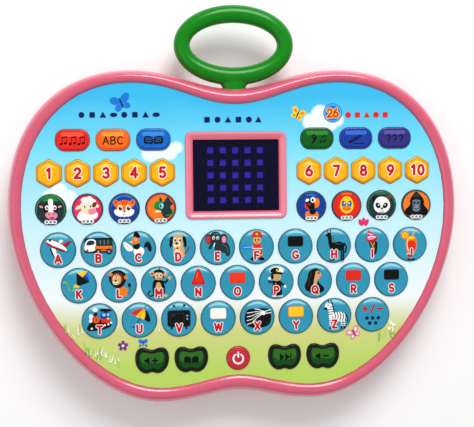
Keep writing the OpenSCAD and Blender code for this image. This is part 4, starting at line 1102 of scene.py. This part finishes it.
FACES = {
    "animals_left_1": [
        ("green", oval(0, 0, 0.97)), ("dark", oval(0, -0.06, 0.93)),
        ("green", blob((-0.7, 0.55), (0, 0.95), (0.7, 0.55), (0, 0.6))),
        *[("black", p) for p in both(blob((0.4, 0.36), (0.84, 0.4), (0.78, 0.06), (0.42, 0.0)))],
        *[("pink", p) for p in both(oval(0.62, 0.2, 0.14, 0.08, 20))],
        ("black", blob((-0.55, 0.3), (0, 0.62), (0.55, 0.3), (0.4, -0.4), (-0.4, -0.4))),
        ("white", blob((-0.2, 0.74), (0.22, 0.74), (0.14, 0.1), (0.24, -0.3), (-0.2, -0.3), (-0.1, 0.1))),
        ("pink", blob((-0.36, -0.16), (0.4, -0.16), (0.5, -0.5), (0.1, -0.72), (-0.36, -0.5))),
        ("crimson", oval(0.1, -0.56, 0.16, 0.07)), ("brown", oval(-0.12, -0.3, 0.05)),
        ("brown", oval(0.22, -0.3, 0.05)), *eyes(0.02, 0.14, 0.26, 0.13)
    ],
    "animals_left_2": [
        ("crimson", oval(0, 0, 0.97)), ("rose", oval(0, -0.02, 0.92)),
        ("pink", blob((-0.7, 0.55), (0, 0.95), (0.7, 0.55), (0, 0.66))),
        ("cream", blob((-0.7, -0.2), (0, 0.1), (0.7, -0.1), (0.5, -0.8), (-0.5, -0.8))),
        ("white", oval(-0.4, -0.5, 0.3)), ("white", oval(0.1, -0.6, 0.3)), ("white", oval(0.45, -0.4, 0.25)),
        ("cream", oval(-0.62, 0.12, 0.22, 0.12, 30)), ("cream", oval(0.6, 0.24, 0.2, 0.12, -30)),
        ("cream", blob((-0.5, 0.5), (0.5, 0.6), (0.6, -0.1), (0.3, -0.46), (-0.1, -0.3), (-0.5, 0.0))),
        ("white", oval(-0.2, 0.6, 0.22)), ("white", oval(0.14, 0.66, 0.22)), ("white", oval(0.4, 0.5, 0.18)),
        ("brown", oval(0.46, 0.3, 0.14, 0.2, -30)),
        ("pink", blob((0.0, 0.0), (0.6, 0.1), (0.6, -0.3), (0.1, -0.4))), *eyes(0.0, 0.2, 0.2, 0.12)
    ],
    "animals_left_3": [
        ("deep", oval(0, 0, 0.97)), ("blue", oval(0, 0.04, 0.9)), ("deep", oval(0, -0.06, 0.88)),
        *[("orange", p) for p in both(blob((0.2, 0.4), (0.74, 0.72), (0.74, 0.2), (0.4, 0.1)))],
        *[("red", p) for p in both([(0.4, 0.42), (0.66, 0.6), (0.64, 0.28)])],
        ("orange", blob((-0.6, 0.2), (-0.3, 0.6), (0.3, 0.6), (0.6, 0.2), (0.4, -0.3), (-0.4, -0.3))),
        *[("white", p) for p in both(blob((0.1, -0.1), (0.7, 0.0), (0.66, -0.4), (0.2, -0.6), (0.0, -0.4)))],
        ("white", oval(0, -0.34, 0.26, 0.22)),
        *[("red", line(0.07, (x, 0.56), (x * 0.6, 0.32))) for x in (-0.2, 0.001, 0.2)],
        *eyes(0, 0.04, 0.28, 0.17, 0.7), ("black", oval(0, -0.2, 0.08, 0.05)),
        ("black", line(0.03, (-0.1, -0.36), (0.0, -0.42), (0.1, -0.36)))
    ],
    "animals_left_4": [
        ("red", oval(0, 0, 0.97)), ("orange", oval(0, 0.0, 0.9)),
        (
            "green",
            blob(
                (-0.5, 0.2), (-0.3, 0.5), (0.2, 0.5), (0.5, 0.1), (0.9, -0.1), (0.8, -0.5), (0.3, -0.3),
                (-0.3, -0.1)
            )
        ),
        (
            "dark",
            blob(
                (0.1, 0.2), (0.5, 0.9), (0.66, 0.5), (0.9, 0.3), (0.6, 0.1), (0.86, -0.4), (0.3, -0.8),
                (0.0, -0.3)
            )
        ),
        ("dark", blob((-0.1, 0.44), (-0.06, 0.86), (0.16, 0.5))),
        ("green", blob((-0.5, 0.26), (-0.1, 0.5), (0.3, 0.2), (0.0, -0.16), (-0.44, 0.0))),
        ("dark", line(0.05, (-0.4, 0.02), (-0.1, -0.04), (0.1, -0.1))),
        ("cream", oval(-0.2, -0.22, 0.22, 0.07, 6)), ("sky", oval(0.06, 0.16, 0.15, 0.19)),
        ("black", oval(0.02, 0.16, 0.07, 0.12)), ("white", oval(0.06, 0.22, 0.03)),
        ("green", line(0.08, (0.4, -0.5), (0.74, -0.44), (0.9, -0.3)))
    ],
    "animals_right_1": [
        ("deep", oval(0, 0, 0.97)), ("blue", blob((-0.5, 0.7), (0, 0.92), (0.5, 0.7), (0, 0.76))),
        ("orange", blob((-0.5, -0.4), (0.0, -0.3), (0.5, -0.4), (0.5, -0.9), (-0.4, -0.9))),
        ("black", blob((-0.2, -0.3), (0.3, -0.2), (0.3, -0.56), (-0.1, -0.6))),
        ("red", blob((-0.5, 0.2), (-0.2, 0.3), (0.0, -0.1), (-0.2, -0.3), (-0.5, -0.1))),
        ("orange", blob((0.1, 0.5), (0.5, 0.6), (0.6, 0.1), (0.3, -0.2), (0.1, 0.1))),
        ("black", blob((-0.46, 0.3), (-0.1, 0.56), (0.2, 0.3), (0.24, -0.2), (-0.1, -0.3), (-0.3, 0.0))),
        ("white", oval(-0.3, 0.42, 0.14, 0.1, 30)), ("white", oval(0.1, 0.44, 0.18, 0.2)),
        ("black", oval(0.08, 0.42, 0.08, 0.1)), ("brown", oval(-0.18, 0.14, 0.16, 0.1, -20))
    ],
    "animals_right_2": [
        ("crimson", oval(0, 0, 0.97)), ("red", oval(0, 0.0, 0.92)),
        ("orange", blob((-0.55, 0.75), (0, 0.96), (0.55, 0.75), (0, 0.8))),
        (
            "yellow",
            blob(
                (-0.46, 0.3), (-0.2, 0.66), (0.2, 0.66), (0.46, 0.3), (0.5, -0.2), (0.2, -0.54),
                (-0.2, -0.54), (-0.5, -0.2)
            )
        ),
        ("leaf", blob((-0.3, 0.5), (0, 0.66), (0.3, 0.5), (0, 0.54))),
        *[("black", p) for p in both(oval(0.2, 0.12, 0.15, 0.22, -8))],
        *[("blue", p) for p in both(oval(0.2, 0.08, 0.11, 0.16, -8))],
        ("white", oval(-0.16, 0.2, 0.05, 0.07)), ("white", oval(0.16, 0.2, 0.05, 0.07)),
        ("orange", blob((-0.36, -0.14), (0, 0.02), (0.36, -0.14), (0.2, -0.36), (-0.2, -0.36))),
        ("red", line(0.04, (-0.26, -0.22), (0, -0.28), (0.26, -0.22)))
    ],
    "animals_right_3": [
        ("green", oval(0, 0, 0.97)), ("dark", oval(0, -0.04, 0.94)),
        ("steel", blob((-0.5, 0.72), (0, 0.92), (0.5, 0.72), (0, 0.76))), ("black", oval(-0.5, 0.46, 0.18)),
        ("brown", oval(0.5, 0.54, 0.18)),
        (
            "white",
            blob((-0.6, 0.1), (-0.3, 0.6), (0.3, 0.6), (0.66, 0.1), (0.5, -0.4), (0.0, -0.62), (-0.5, -0.4))
        ),
        *[("black", p) for p in both(oval(0.26, -0.02, 0.16, 0.22, -35))], ("white", oval(-0.22, 0.02, 0.05)),
        ("white", oval(0.24, 0.02, 0.05)), ("black", oval(0.02, -0.22, 0.1, 0.06)),
        ("black", line(0.03, (-0.08, -0.36), (0.02, -0.32), (0.12, -0.38))),
        ("grey", oval(0.0, -0.5, 0.2, 0.05))
    ],
    "animals_right_4": [
        ("brown", oval(0, 0, 0.97)), ("orange", oval(0, 0.0, 0.94)),
        (
            "black",
            blob(
                (-0.9, -0.4), (-0.4, 0.0), (-0.5, 0.3), (-0.2, 0.8), (0.0, 0.96), (0.2, 0.8), (0.6, 0.3),
                (0.5, 0.0), (0.9, -0.4), (0.7, -0.8), (-0.7, -0.8)
            )
        ),
        ("dark", blob((-0.3, 0.7), (0, 0.86), (0.3, 0.7), (0.2, 0.5), (-0.2, 0.5))),
        (
            "steel",
            blob(
                (-0.34, 0.3), (0.0, 0.42), (0.34, 0.3), (0.26, -0.1), (0.3, -0.4), (0.0, -0.54), (-0.3, -0.4),
                (-0.26, -0.1)
            )
        ),
        ("black", oval(-0.14, 0.16, 0.08, 0.05)), ("black", oval(0.14, 0.16, 0.08, 0.05)),
        ("grey", oval(0, -0.12, 0.18, 0.12)), ("black", oval(-0.07, -0.12, 0.04)),
        ("black", oval(0.07, -0.12, 0.04)), ("grey", line(0.05, (-0.2, -0.34), (0.0, -0.4), (0.2, -0.34))),
        ("grey", line(0.05, (-0.24, 0.28), (0.0, 0.24), (0.24, 0.28)))
    ],
}


def paw(x, y, r, ink="navy"):
    toes = [(-0.62, 0.35), (-0.22, 0.75), (0.25, 0.75), (0.64, 0.35)]
    return [(ink, oval(x, y - 0.1 * r, 0.52 * r, 0.42 * r))] + [
        (ink, oval(x + tx * r, y + ty * r, 0.2 * r, 0.26 * r)) for tx, ty in toes
    ]


caption = [
    ("white", oval(x, -0.84, 0.17, 0.14)) for x in (-0.26, 0.0, 0.26)
] + [s for x in (-0.26, 0.0, 0.26) for s in paw(x, -0.86, 0.12)]


def note(x, y, s, ink="black"):
    return [
        (ink, oval(x - 0.2 * s, y - 0.3 * s, 0.16 * s, 0.12 * s, 20)),
        (ink, oval(x + 0.24 * s, y - 0.22 * s, 0.16 * s, 0.12 * s, 20)),
        (ink, line(0.06 * s, (x - 0.06 * s, y - 0.28 * s), (x - 0.06 * s, y + 0.34 * s))),
        (ink, line(0.06 * s, (x + 0.38 * s, y - 0.2 * s), (x + 0.38 * s, y + 0.42 * s))),
        (
            ink,
            [
                (x - 0.09 * s, y + 0.3 * s), (x + 0.41 * s, y + 0.38 * s), (x + 0.41 * s, y + 0.52 * s),
                (x - 0.09 * s, y + 0.44 * s)
            ]
        )
    ]


MODE_MARKS = {
    "key_music": note(-0.85, -0.1, 0.9) + note(0.0, -0.1, 0.9) + note(0.8, -0.1, 0.9),
    "key_letter": write("ABC", "black", 0.68, 0.0, -0.06, 0.17, step=0.98),
    "key_word": [
        ("black", blob((-0.9, 0.3), (-0.5, 0.38), (-0.02, 0.2), (-0.02, -0.5), (-0.5, -0.36), (-0.9, -0.44))),
        ("black", blob((0.9, 0.3), (0.5, 0.38), (0.02, 0.2), (0.02, -0.5), (0.5, -0.36), (0.9, -0.44))),
        *[
            ("blue", line(0.05, (s * 0.72, y + 0.02), (s * 0.2, y - 0.06))) for s in (-1, 1)
            for y in (0.16, 0.0, -0.16)
        ]
    ],
    "key_singing": [
        ("black", oval(-0.28, 0.16, 0.24, 0.26, 35)),
        ("black", blob((-0.2, 0.1), (-0.02, -0.04), (-0.5, -0.62), (-0.6, -0.52))),
        ("green", line(0.04, (-0.42, 0.08), (-0.14, 0.3)))
    ] + note(0.5, -0.1, 0.8),
    "key_spell": [
        ("black", blob((-0.7, -0.5), (-0.76, -0.3), (0.46, 0.42), (0.66, 0.2), (-0.5, -0.5))),
        ("deep", line(0.05, (-0.5, -0.3), (0.46, 0.26))),
        ("black", line(0.08, (-0.2, -0.52), (0.3, -0.5), (0.8, -0.54)))
    ],
    "key_asking": write("???", "black", 0.72, 0.0, -0.06, 0.18, step=0.85),
}
MODE_COLORS = {
    "key_music": (
        "f8553c", "e8281c", "a8140e"
    ), "key_letter": ("f99a3a", "f26a1a", "d8380e"), "key_word": ("3c8ae0", "1264c4", "0a3c94"),
    "key_singing": (
        "2e8a30", "0e5a18", "063a10"
    ), "key_spell": ("3c6ad0", "163c9c", "0c2070"), "key_asking": ("5a52a8", "32307e", "141c5c"),
}
speaker_mark = [
    ("black", blob((-0.62, 0.12), (-0.44, 0.12), (-0.2, 0.34), (-0.2, -0.34), (-0.44, -0.12), (-0.62, -0.12)))
]
APPLE_MARKS = {
    "key_volume_up": speaker_mark + [("black", box(0.22, 0, 0.5, 0.13)), ("black", box(0.22, 0, 0.13, 0.5))],
    "key_story": [
        (
            "black",
            blob((-0.6, 0.22), (-0.3, 0.3), (-0.02, 0.16), (-0.02, -0.34), (-0.3, -0.2), (-0.6, -0.28))
        ),
        ("black", blob((0.6, 0.22), (0.3, 0.3), (0.02, 0.16), (0.02, -0.34), (0.3, -0.2), (0.6, -0.28)))
    ],
    "key_next": [
        ("black", [(x - 0.2, 0.32), (x + 0.2, 0), (x - 0.2, -0.32)]) for x in (-0.2, 0.24)
    ] + [("black", box(0.5, 0, 0.09, 0.6))],
    "key_volume_down": speaker_mark + [("black", box(0.22, 0, 0.5, 0.13))],
}
power_mark = [("white", arc(0, -0.03, 0.42, 125, 415, 0.15)), ("white", line(0.15, (0, 0.12), (0, 0.5)))]

# ---- Keys ----
# The band from top to low in these key paints is painted light: the top colour is a painted highlight, and
# the colours below it are painted shade, as if lit from above
TEAL = key_paint(srgb("70c8dc"), srgb("1a90b0"), srgb("209ab8"), srgb("0c6880"), 9.1, 8.6)
finishes = {
    "letter": surface("key_teal", srgb("1a90b0"), 0.34, coat=0.15, depth=0.02, paint=TEAL),
    "number": surface(
        "key_yellow", srgb("f8b020"), 0.34, coat=0.15, depth=0.02,
        paint=key_paint(srgb("fbd62a"), srgb("f9b81e"), srgb("f2881a"), srgb("e0760f"), 7, 6.9)
    ),
    "animal": surface("key_animal", srgb("304048"), 0.25, coat=0.1, depth=0.02, shine=0.2),
    # Near-black cap: painted shade, a dark outline round each fruit key that stands in for the shadow in the
    # gap around it
    "apple": surface("key_apple_edge", srgb("061406"), 0.25, coat=0.1, depth=0.02, shine=0.2),
    "power": surface(
        "key_power", srgb("c4102c"), 0.34, coat=0.15, depth=0.02,
        paint=key_paint(srgb("d2203c"), srgb("c6122e"), srgb("c01030"), srgb("a80c26"), 6, 5.9)
    ),
}
KEY_PROFILE = (
    (0.9, 22.62), (0.9, 23.68), (0.0, 23.7), (0.0, 26.55), (-0.07, 26.78), (-0.22, 26.95), (-0.45, 27.06),
    (-0.8, KEY_TOP)
)
mode_finish = {}
for name, codes in MODE_COLORS.items():
    top, middle, edge = (srgb(c) for c in codes)
    mode_finish[name] = surface("key_" + name[4:], middle, 0.34, coat=0.15, depth=0.02)
    ink_materials[name + "_edge"] = ink_for_prints_and_highlights("edge_" + name[4:], edge)
    ink_materials[name + "_low"] = ink_for_prints_and_highlights("low_" + name[4:], middle)
    # The top colour is a painted highlight: a lighter band across the top of each mode key
    ink_materials[name + "_top"] = ink_for_prints_and_highlights("top_" + name[4:], top)
ink_materials["apple_green"] = ink_for_prints_and_highlights("apple_green", srgb("0d4a12"))
# Painted highlight colour for the upper part of the fruit keys
ink_materials["apple_painted_highlight"] = ink_for_prints_and_highlights("apple_painted_highlight", srgb("2c6a1c"))
ink_materials["hex_edge"] = ink_for_prints_and_highlights("hex_edge", srgb("e6860c"))
ink_materials["hex_face"] = ink_for_prints_and_highlights("hex_face", srgb("fcb414"))
# Painted highlight colour for the top of the number keys
ink_materials["hex_painted_highlight"] = ink_for_prints_and_highlights("hex_painted_highlight", srgb("fbe24a"))
# Painted highlight colour for the crescent on the letter keys
ink_materials["disc_painted_highlight"] = ink_for_prints_and_highlights("disc_painted_highlight", srgb("9fdcea"))

for kind, name, body, x, y in KEYS:
    rings = [[(px, py, z) for px, py in OUTLINES[kind](d)] for d, z in KEY_PROFILE]
    finish = mode_finish[name] if kind == "mode" else finishes[kind]
    key = make("cap_" + name, *loft(rings), finish, None, None, 50)
    key.location = (x * MM, y * MM, 0)
    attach(key, body)
    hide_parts(body)
    if kind == "letter":
        mark = name[4:]
        # A painted highlight: a lighter crescent across the top of each letter key, standing in for the gloss
        # of light from above
        highlight = [
            (
                "disc_painted_highlight",
                blob(
                    (-0.62, 0.62), (-0.35, 0.84), (0, 0.92), (0.35, 0.84), (0.62, 0.62), (0.3, 0.76),
                    (0, 0.8), (-0.3, 0.76)
                )
            )
        ]
        if mark == "plus_minus":
            shapes = highlight + write("+/-", "crimson", 0.5, 0, 0.34, 0.2, step=0.9) + [
                ("navy", loop)
                for loop in (
                    oval(-0.34, -0.2, 0.11), box(0, -0.2, 0.2, 0.2, 0.03), oval(0.34, -0.2, 0.11),
                    box(-0.18, -0.5, 0.2, 0.2, 0.03), oval(0.18, -0.5, 0.11)
                )
            ]
        else:
            shapes = highlight + PICTURES[mark] + letter_mark(mark.upper())
        printing("print_" + name, body, shapes, x, y, KEY_TOP, LETTER_R)
    elif kind == "number":
        digit = str(int(name[-1]) + (5 if "right" in name else 0))
        # A painted highlight: a pale band across the top of each number key, standing in for light from above
        shine = [
            (
                "hex_painted_highlight",
                blob(
                    (-0.62, 0.36), (-0.5, 0.5), (0, 0.8), (0.5, 0.5), (0.62, 0.36), (0.3, 0.5), (0, 0.62),
                    (-0.3, 0.5)
                )
            )
        ]
        bands = [
            (ink, [(px / NUMBER_UNIT, py / NUMBER_UNIT) for px, py in hexagon(0, 0, w, r)]) for ink, w,
            r in (("hex_edge", 12.0, 1.8), ("hex_face", 10.6, 1.5))
        ]
        shapes = bands + shine + write(digit, "crimson", 0.76, 0, 0, 0.28, "white", 0.08, 0.82)
        printing("print_" + name, body, shapes, x, y, KEY_TOP, NUMBER_UNIT)
    elif kind == "animal":
        printing("print_" + name, body, FACES[name] + caption, x, y, KEY_TOP, ANIMAL_UNIT)
    elif kind == "mode":
        inner = [(px / MODE_UNIT, py / MODE_UNIT) for px, py in round_box(0, 0.2, 15.9, 9.3, 4.3, 8)]
        # The small band near the top is a painted highlight, lighter than the key's own colour
        upper = [(px / MODE_UNIT, py / MODE_UNIT) for px, py in round_box(0, 2.9, 11.6, 2.2, 1.1, 6)]
        shapes = [
            (
                name + "_edge",
                [(px / MODE_UNIT, py / MODE_UNIT) for px, py in round_box(0, 0, 16.5, 10.0, 4.6, 8)]
            ),
            (name + "_low", inner), (name + "_top", upper)
        ] + MODE_MARKS[name]
        printing("print_" + name, body, shapes, x, y, KEY_TOP, MODE_UNIT)
    elif kind == "apple":
        inner = [(px / APPLE_UNIT, py / APPLE_UNIT) for px, py in inset(apple(0, 0, APPLE_W, APPLE_H), -2.0)]
        # The lighter green patch over the upper part is a painted highlight
        upper = [(px / APPLE_UNIT, py / APPLE_UNIT + 0.22) for px, py in inset(apple(0, 0, 13.4, 7.0), -0.6)]
        printing(
            "print_" + name, body, [("apple_green", inner), ("apple_painted_highlight", upper)] + APPLE_MARKS[name], x, y,
            KEY_TOP, APPLE_UNIT
        )
    else:
        printing("print_" + name, body, power_mark, x, y, KEY_TOP, POWER_UNIT)

# ---- Printed film ----
# Height up the face and colour, from the top of the sky to the foot of the meadow
SKY = ((56, "28b8ea"), (30, "70dcf6"), (-10, "c6f0f8"), (-50, "f2fafc"), (-66, "d4d684"), (-88, "b8d85c"))
CLOUDS = (
    (-45, 27, 4.5), (-40, 29, 5), (-35, 28, 4.6), (-31, 30, 3.2), (-43, 30.5, 3.4), (40, 43, 4.6),
    (45, 47, 5), (50, 43, 5), (54, 44, 3.6), (46, 42, 5.5), (-97, 5, 4), (-92, 8, 4.5), (-87, 4, 4.5),
    (-90, 1.5, 4)
)


def film_paint(tree, place):
    lowest, highest = SKY[-1][0], SKY[0][0]
    up = node(tree, "ShaderNodeMapRange", From_Min=lowest * MM, From_Max=highest * MM)
    ripple = node(tree, "ShaderNodeTexNoise", Scale=28.0, Detail=3.0)
    tree.links.new(place, ripple.inputs["Vector"])
    waver = math_node(tree, "MULTIPLY", math_node(tree, "SUBTRACT", ripple.outputs["Fac"], 0.5), 0.012)
    tree.links.new(math_node(tree, "ADD", axis_of(tree, place, 1), waver), up.inputs["Value"])
    tone = ramp(tree, up.outputs["Result"], [((y - lowest) / (highest - lowest), srgb(c)) for y, c in SKY])
    cover = None
    for x, y, r in CLOUDS:
        soft = node(tree, "ShaderNodeMapRange", From_Min=(r + 0.5) * MM, From_Max=(r - 0.9) * MM)
        tree.links.new(from_middle(tree, place, x, y), soft.inputs["Value"])
        cover = soft.outputs["Result"] if cover is None else math_node(
            tree, "MAXIMUM", cover, soft.outputs["Result"]
        )
    tone = mix(tree, math_node(tree, "MULTIPLY", cover, 0.92), tone, srgb("f4fbff"))
    return tone


film_material = surface("film_print", srgb("88e0f4"), 0.28, coat=0.5, depth=0.02, paint=film_paint)
carried = {"face_overlay": film_material}


def wings(x, y, s, ink, inner, turn=0):
    """A butterfly of four wings and a body."""
    c, d = math.cos(math.radians(turn)), math.sin(math.radians(turn))
    shapes = []
    for sx in (-1, 1):
        for wx, wy, rx, ry, a in ((0.55, 0.4, 0.62, 0.42, 35), (0.45, -0.4, 0.45, 0.34, -40)):
            shapes.append(
                (
                    ink,
                    [
                        (x + s * (px * c - py * d), y + s * (px * d + py * c)) for px,
                        py in oval(sx * wx, wy, rx, ry, sx * a)
                    ]
                )
            )
            shapes.append(
                (
                    inner,
                    [
                        (x + s * (px * c - py * d), y + s * (px * d + py * c)) for px,
                        py in oval(sx * wx, wy, rx * 0.45, ry * 0.45, sx * a)
                    ]
                )
            )
    return shapes + [
        ("dark", [(x + s * (px * c - py * d), y + s * (px * d + py * c)) for px, py in oval(0, 0, 0.1, 0.6)])
    ]


def flower(x, y, s, ink, heart, petals=5):
    ring = [
        (
            ink,
            oval(
                x + s * math.cos(2 * math.pi * k / petals + 0.3),
                y + s * math.sin(2 * math.pi * k / petals + 0.3), s * 0.62, s * 0.5, 360 * k / petals + 17
            )
        )
        for k in range(petals)
    ]
    return ring + [(heart, oval(x, y, s * 0.4))]


def within(point, loop):
    """Whether a point is inside a loop, by the edges that a line to its right crosses."""
    x, y = point
    crossed = [(a, b) for a, b in zip(loop, loop[1:] + loop[:1]) if (a[1] > y) != (b[1] > y)]
    return sum(x < a[0] + (y - a[1]) * (b[0] - a[0]) / (b[1] - a[1]) for a, b in crossed) % 2 == 1


def reaches_key(loop):
    return any(within(point, hole) for hole in WIDE_HOLES for point in loop)


film = []
film += wings(-59.5, 53.3, 4.8, "blue", "blue", 20)
film += wings(33.0, 47.1, 3.6, "yellow", "orange", -25)
film += [("blue", oval(51.7, 47.6, 5.1)), ("sky", oval(51.7, 47.6, 4.5)), ("blue", oval(51.7, 47.6, 4.2))]
film += write("26", "red", 4.0, 51.7, 47.6, 0.24, "yellow", 0.11, 0.8)
for i, x in enumerate((-80, -74.5, -69, -63.5, -58, -52.5, -47, -41.5)):
    film += [
        (
            "navy",
            (
                oval(x, 47.2, 1.5), box(x, 47.2, 2.8, 2.8, 0.4),
                [(x - 1.7, 45.8), (x + 1.7, 45.8), (x, 48.9)], oval(x, 47.2, 1.9, 1.1)
            )[i % 4]
        )
    ]
for i, x in enumerate((-15, -9.5, -4, 1.5, 7, 12)):
    film += [
        (
            "navy",
            (box(x, 44.4, 2.9, 2.9, 0.4), oval(x, 44.4, 1.55), [(x - 1.7, 43), (x + 1.7, 43), (x, 46)])[i % 3]
        )
    ]
for i, x in enumerate((60, 65, 70, 75, 80)):
    film += [
        (
            "red",
            (
                oval(x, 46.6, 1.5), box(x, 46.6, 2.7, 2.7, 0.4), [(x - 1.6, 45.3), (x + 1.6, 45.3), (x, 48.2)]
            )[i % 3]
        )
    ]
film += [("rose", oval(68 + 1.6 * side, -10 - 0.7 * abs(side), 1.0, 1.9, -25 * side)) for side in (-1, 1, 0)]
film += flower(-60.5, -73.4, 1.7, "violet", "white")
film += wings(-50.0, -72.4, 2.8, "blue", "blue", 180)
film += wings(62.3, -69.7, 3.4, "pink", "white", 30)
film += flower(82.5, -66.5, 1.6, "white", "yellow")
rng = random.Random(7)
for low_x, high_x, low_y, count in (
    (-80, -62, -76, 26), (-92, -74, -66, 12), (-46, -20, -66, 14), (72, 88, -72, 12)
):
    for _ in range(count):
        x = rng.uniform(low_x, high_x)
        y = low_y + rng.uniform(-3, 2.5) + (x - low_x) * (-0.35 if low_y == -76 else 0)
        lean, tall = rng.uniform(-1.6, 1.6), rng.uniform(2.6, 5.2)
        film.append(
            (
                rng.choice(("leaf", "grass", "white", "white")),
                [(x - 0.35, y), (x + 0.35, y), (x + lean * 0.6 + 0.15, y + tall * 0.6), (x + lean, y + tall)]
            )
        )
film = [(ink, loop) for ink, loop in film if not reaches_key(loop)]
printing("print_film", "case", film, 0, 0, FILM_TOP, 1.0)

# ---- Ring handle ----
green = surface("handle_green", srgb("028008"), 0.22, coat=0.12, depth=0.03, shine=0.22)
RING = (27.5, 16.45, 84.2, 19.0)


def bar_radius(t):
    return 4.4 + 0.4 * math.sin(t) ** 2


def ring_section(t):
    a, b, y, z = RING
    nx, ny = b * math.cos(t), a * math.sin(t)
    length = math.hypot(nx, ny)
    r = bar_radius(t)
    return [
        (
            a * math.cos(t) + nx / length * r * math.cos(s),
            y + b * math.sin(t) + ny / length * r * math.cos(s), z + 4.5 * math.sin(s)
        )
        for s in (2 * math.pi * k / 24 for k in range(24))
    ]


def web_section(y):
    """The neck under the ring: wide where it meets the ring, and narrower at the body."""
    share = min(1.0, max(0.0, (y - 56) / 12))
    w = 5.0 + 5.5 * share**2
    t = 4.4 - 0.9 * share
    return [
        (w * math.cos(s), y, RING[3] + t * math.sin(s)) for s in (2 * math.pi * k / 24 for k in range(24))
    ]


ring_points, ring_faces = loft([ring_section(2 * math.pi * i / 120) for i in range(120)], closed=True)
web_points, web_faces = loft([web_section(56 + i) for i in range(13)])
offset = len(ring_points)
handle = make(
    "ring_handle", ring_points + web_points, ring_faces + [tuple(i + offset for i in f) for f in web_faces],
    green, None
)
blend = handle.modifiers.new("blend", "REMESH")
blend.mode = "VOXEL"
blend.voxel_size = 0.5 * MM
soften = handle.modifiers.new("soften", "SMOOTH")
soften.factor = 0.6
soften.iterations = 5
solid = bpy.data.meshes.new_from_object(handle.evaluated_get(bpy.context.evaluated_depsgraph_get()))
handle.modifiers.clear()
handle.data = solid
solid.shade_smooth()
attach(handle, "case")
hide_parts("handle")

# ---- Carried-over CAD pieces ----
carried |= {
    "screen_window": surface("smoked_sheet", srgb("0a0a38"), 0.06, coat=0.3, depth=0.01, clear=0.8),
    "led_mask": surface("mask_black", srgb("0c0c30"), 0.55, depth=0.15),
    "leds": surface("led_violet", srgb("7458f4"), 0.3, glow=0.9, depth=0.05),
    "circuit_board": surface("board_tan", srgb("b08a52"), 0.6, depth=0.1),
    "control_chip": surface("chip_black", srgb("141414"), 0.3, depth=0.1),
    "key_mat": surface("mat_grey", srgb("d8d8d4"), 0.6, depth=0.1),
    "speaker": surface("speaker_black", srgb("202022"), 0.45, depth=0.2),
    "battery_cells": surface("cell_green", srgb("4c8a68"), 0.3, metal=0.2, depth=0.05),
    "battery_contacts": surface("contact_steel", srgb("d4d2cc"), 0.28, metal=1.0, depth=0.05),
    "battery_door": surface("door_pink", PINK, 0.24, coat=0.5, depth=0.03),
    "door_screws": surface("door_screw_steel", srgb("c4c4c4"), 0.3, metal=1.0, depth=0.05),
    "shell_screws": surface("shell_screw_steel", srgb("c4c4c4"), 0.3, metal=1.0, depth=0.05),
    "board_screws": surface("board_screw_steel", srgb("c4c4c4"), 0.3, metal=1.0, depth=0.05),
    "wiring": surface("wire_red", srgb("c01c1c"), 0.5, depth=0.05),
}
for name, material in carried.items():
    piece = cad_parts[name]
    piece.data.materials.clear()
    piece.data.materials.append(material)
for name, width in (("battery_door", 0.35), ("speaker", 0.2)):
    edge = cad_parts[name].modifiers.new("edge", "BEVEL")
    edge.width = width * MM
    edge.segments = 2
    edge.limit_method = "ANGLE"

# ---- Stage, light and camera ----
ground = bpy.data.meshes.new("ground")
ground.from_pydata([(-3, -3, 0), (3, -3, 0), (3, 3, 0), (-3, 3, 0)], [], [(0, 1, 2, 3)])
ground_plane = bpy.data.objects.new("ground", ground)
ground_plane.location.z = -0.0002
scene.collection.objects.link(ground_plane)
ground.materials.append(surface("ground_white", (0.97, 0.97, 0.97), 0.9, depth=0.0, spread=0.01))

world = bpy.data.worlds.new("studio")
scene.world = world
world.use_nodes = True
world.node_tree.nodes["Background"].inputs["Color"].default_value = (1.0, 1.0, 1.0, 1.0)
world.node_tree.nodes["Background"].inputs["Strength"].default_value = 0.52


def lamp(name, place, size, power, target=(0, -0.017, 0.02)):
    light = bpy.data.lights.new(name, "AREA")
    light.size = size
    light.energy = power
    made = bpy.data.objects.new(name, light)
    made.location = place
    made.rotation_euler = (Vector(target) - Vector(place)).to_track_quat("-Z", "Y").to_euler()
    scene.collection.objects.link(made)


lamp("key_light", (0.15, 0.75, 0.75), 0.5, 8.5)
lamp("fill_light", (-0.7, -0.2, 0.8), 0.8, 1.6)

camera = bpy.data.objects.new("camera", bpy.data.cameras.new("camera"))
camera.data.lens = 71.84
camera.data.sensor_width = 36
camera.location = (-0.0454, 0.0147, 0.5221)
camera.rotation_euler = [math.radians(a) for a in (-2.2, -5.28, -0.62)]
scene.collection.objects.link(camera)
scene.camera = camera
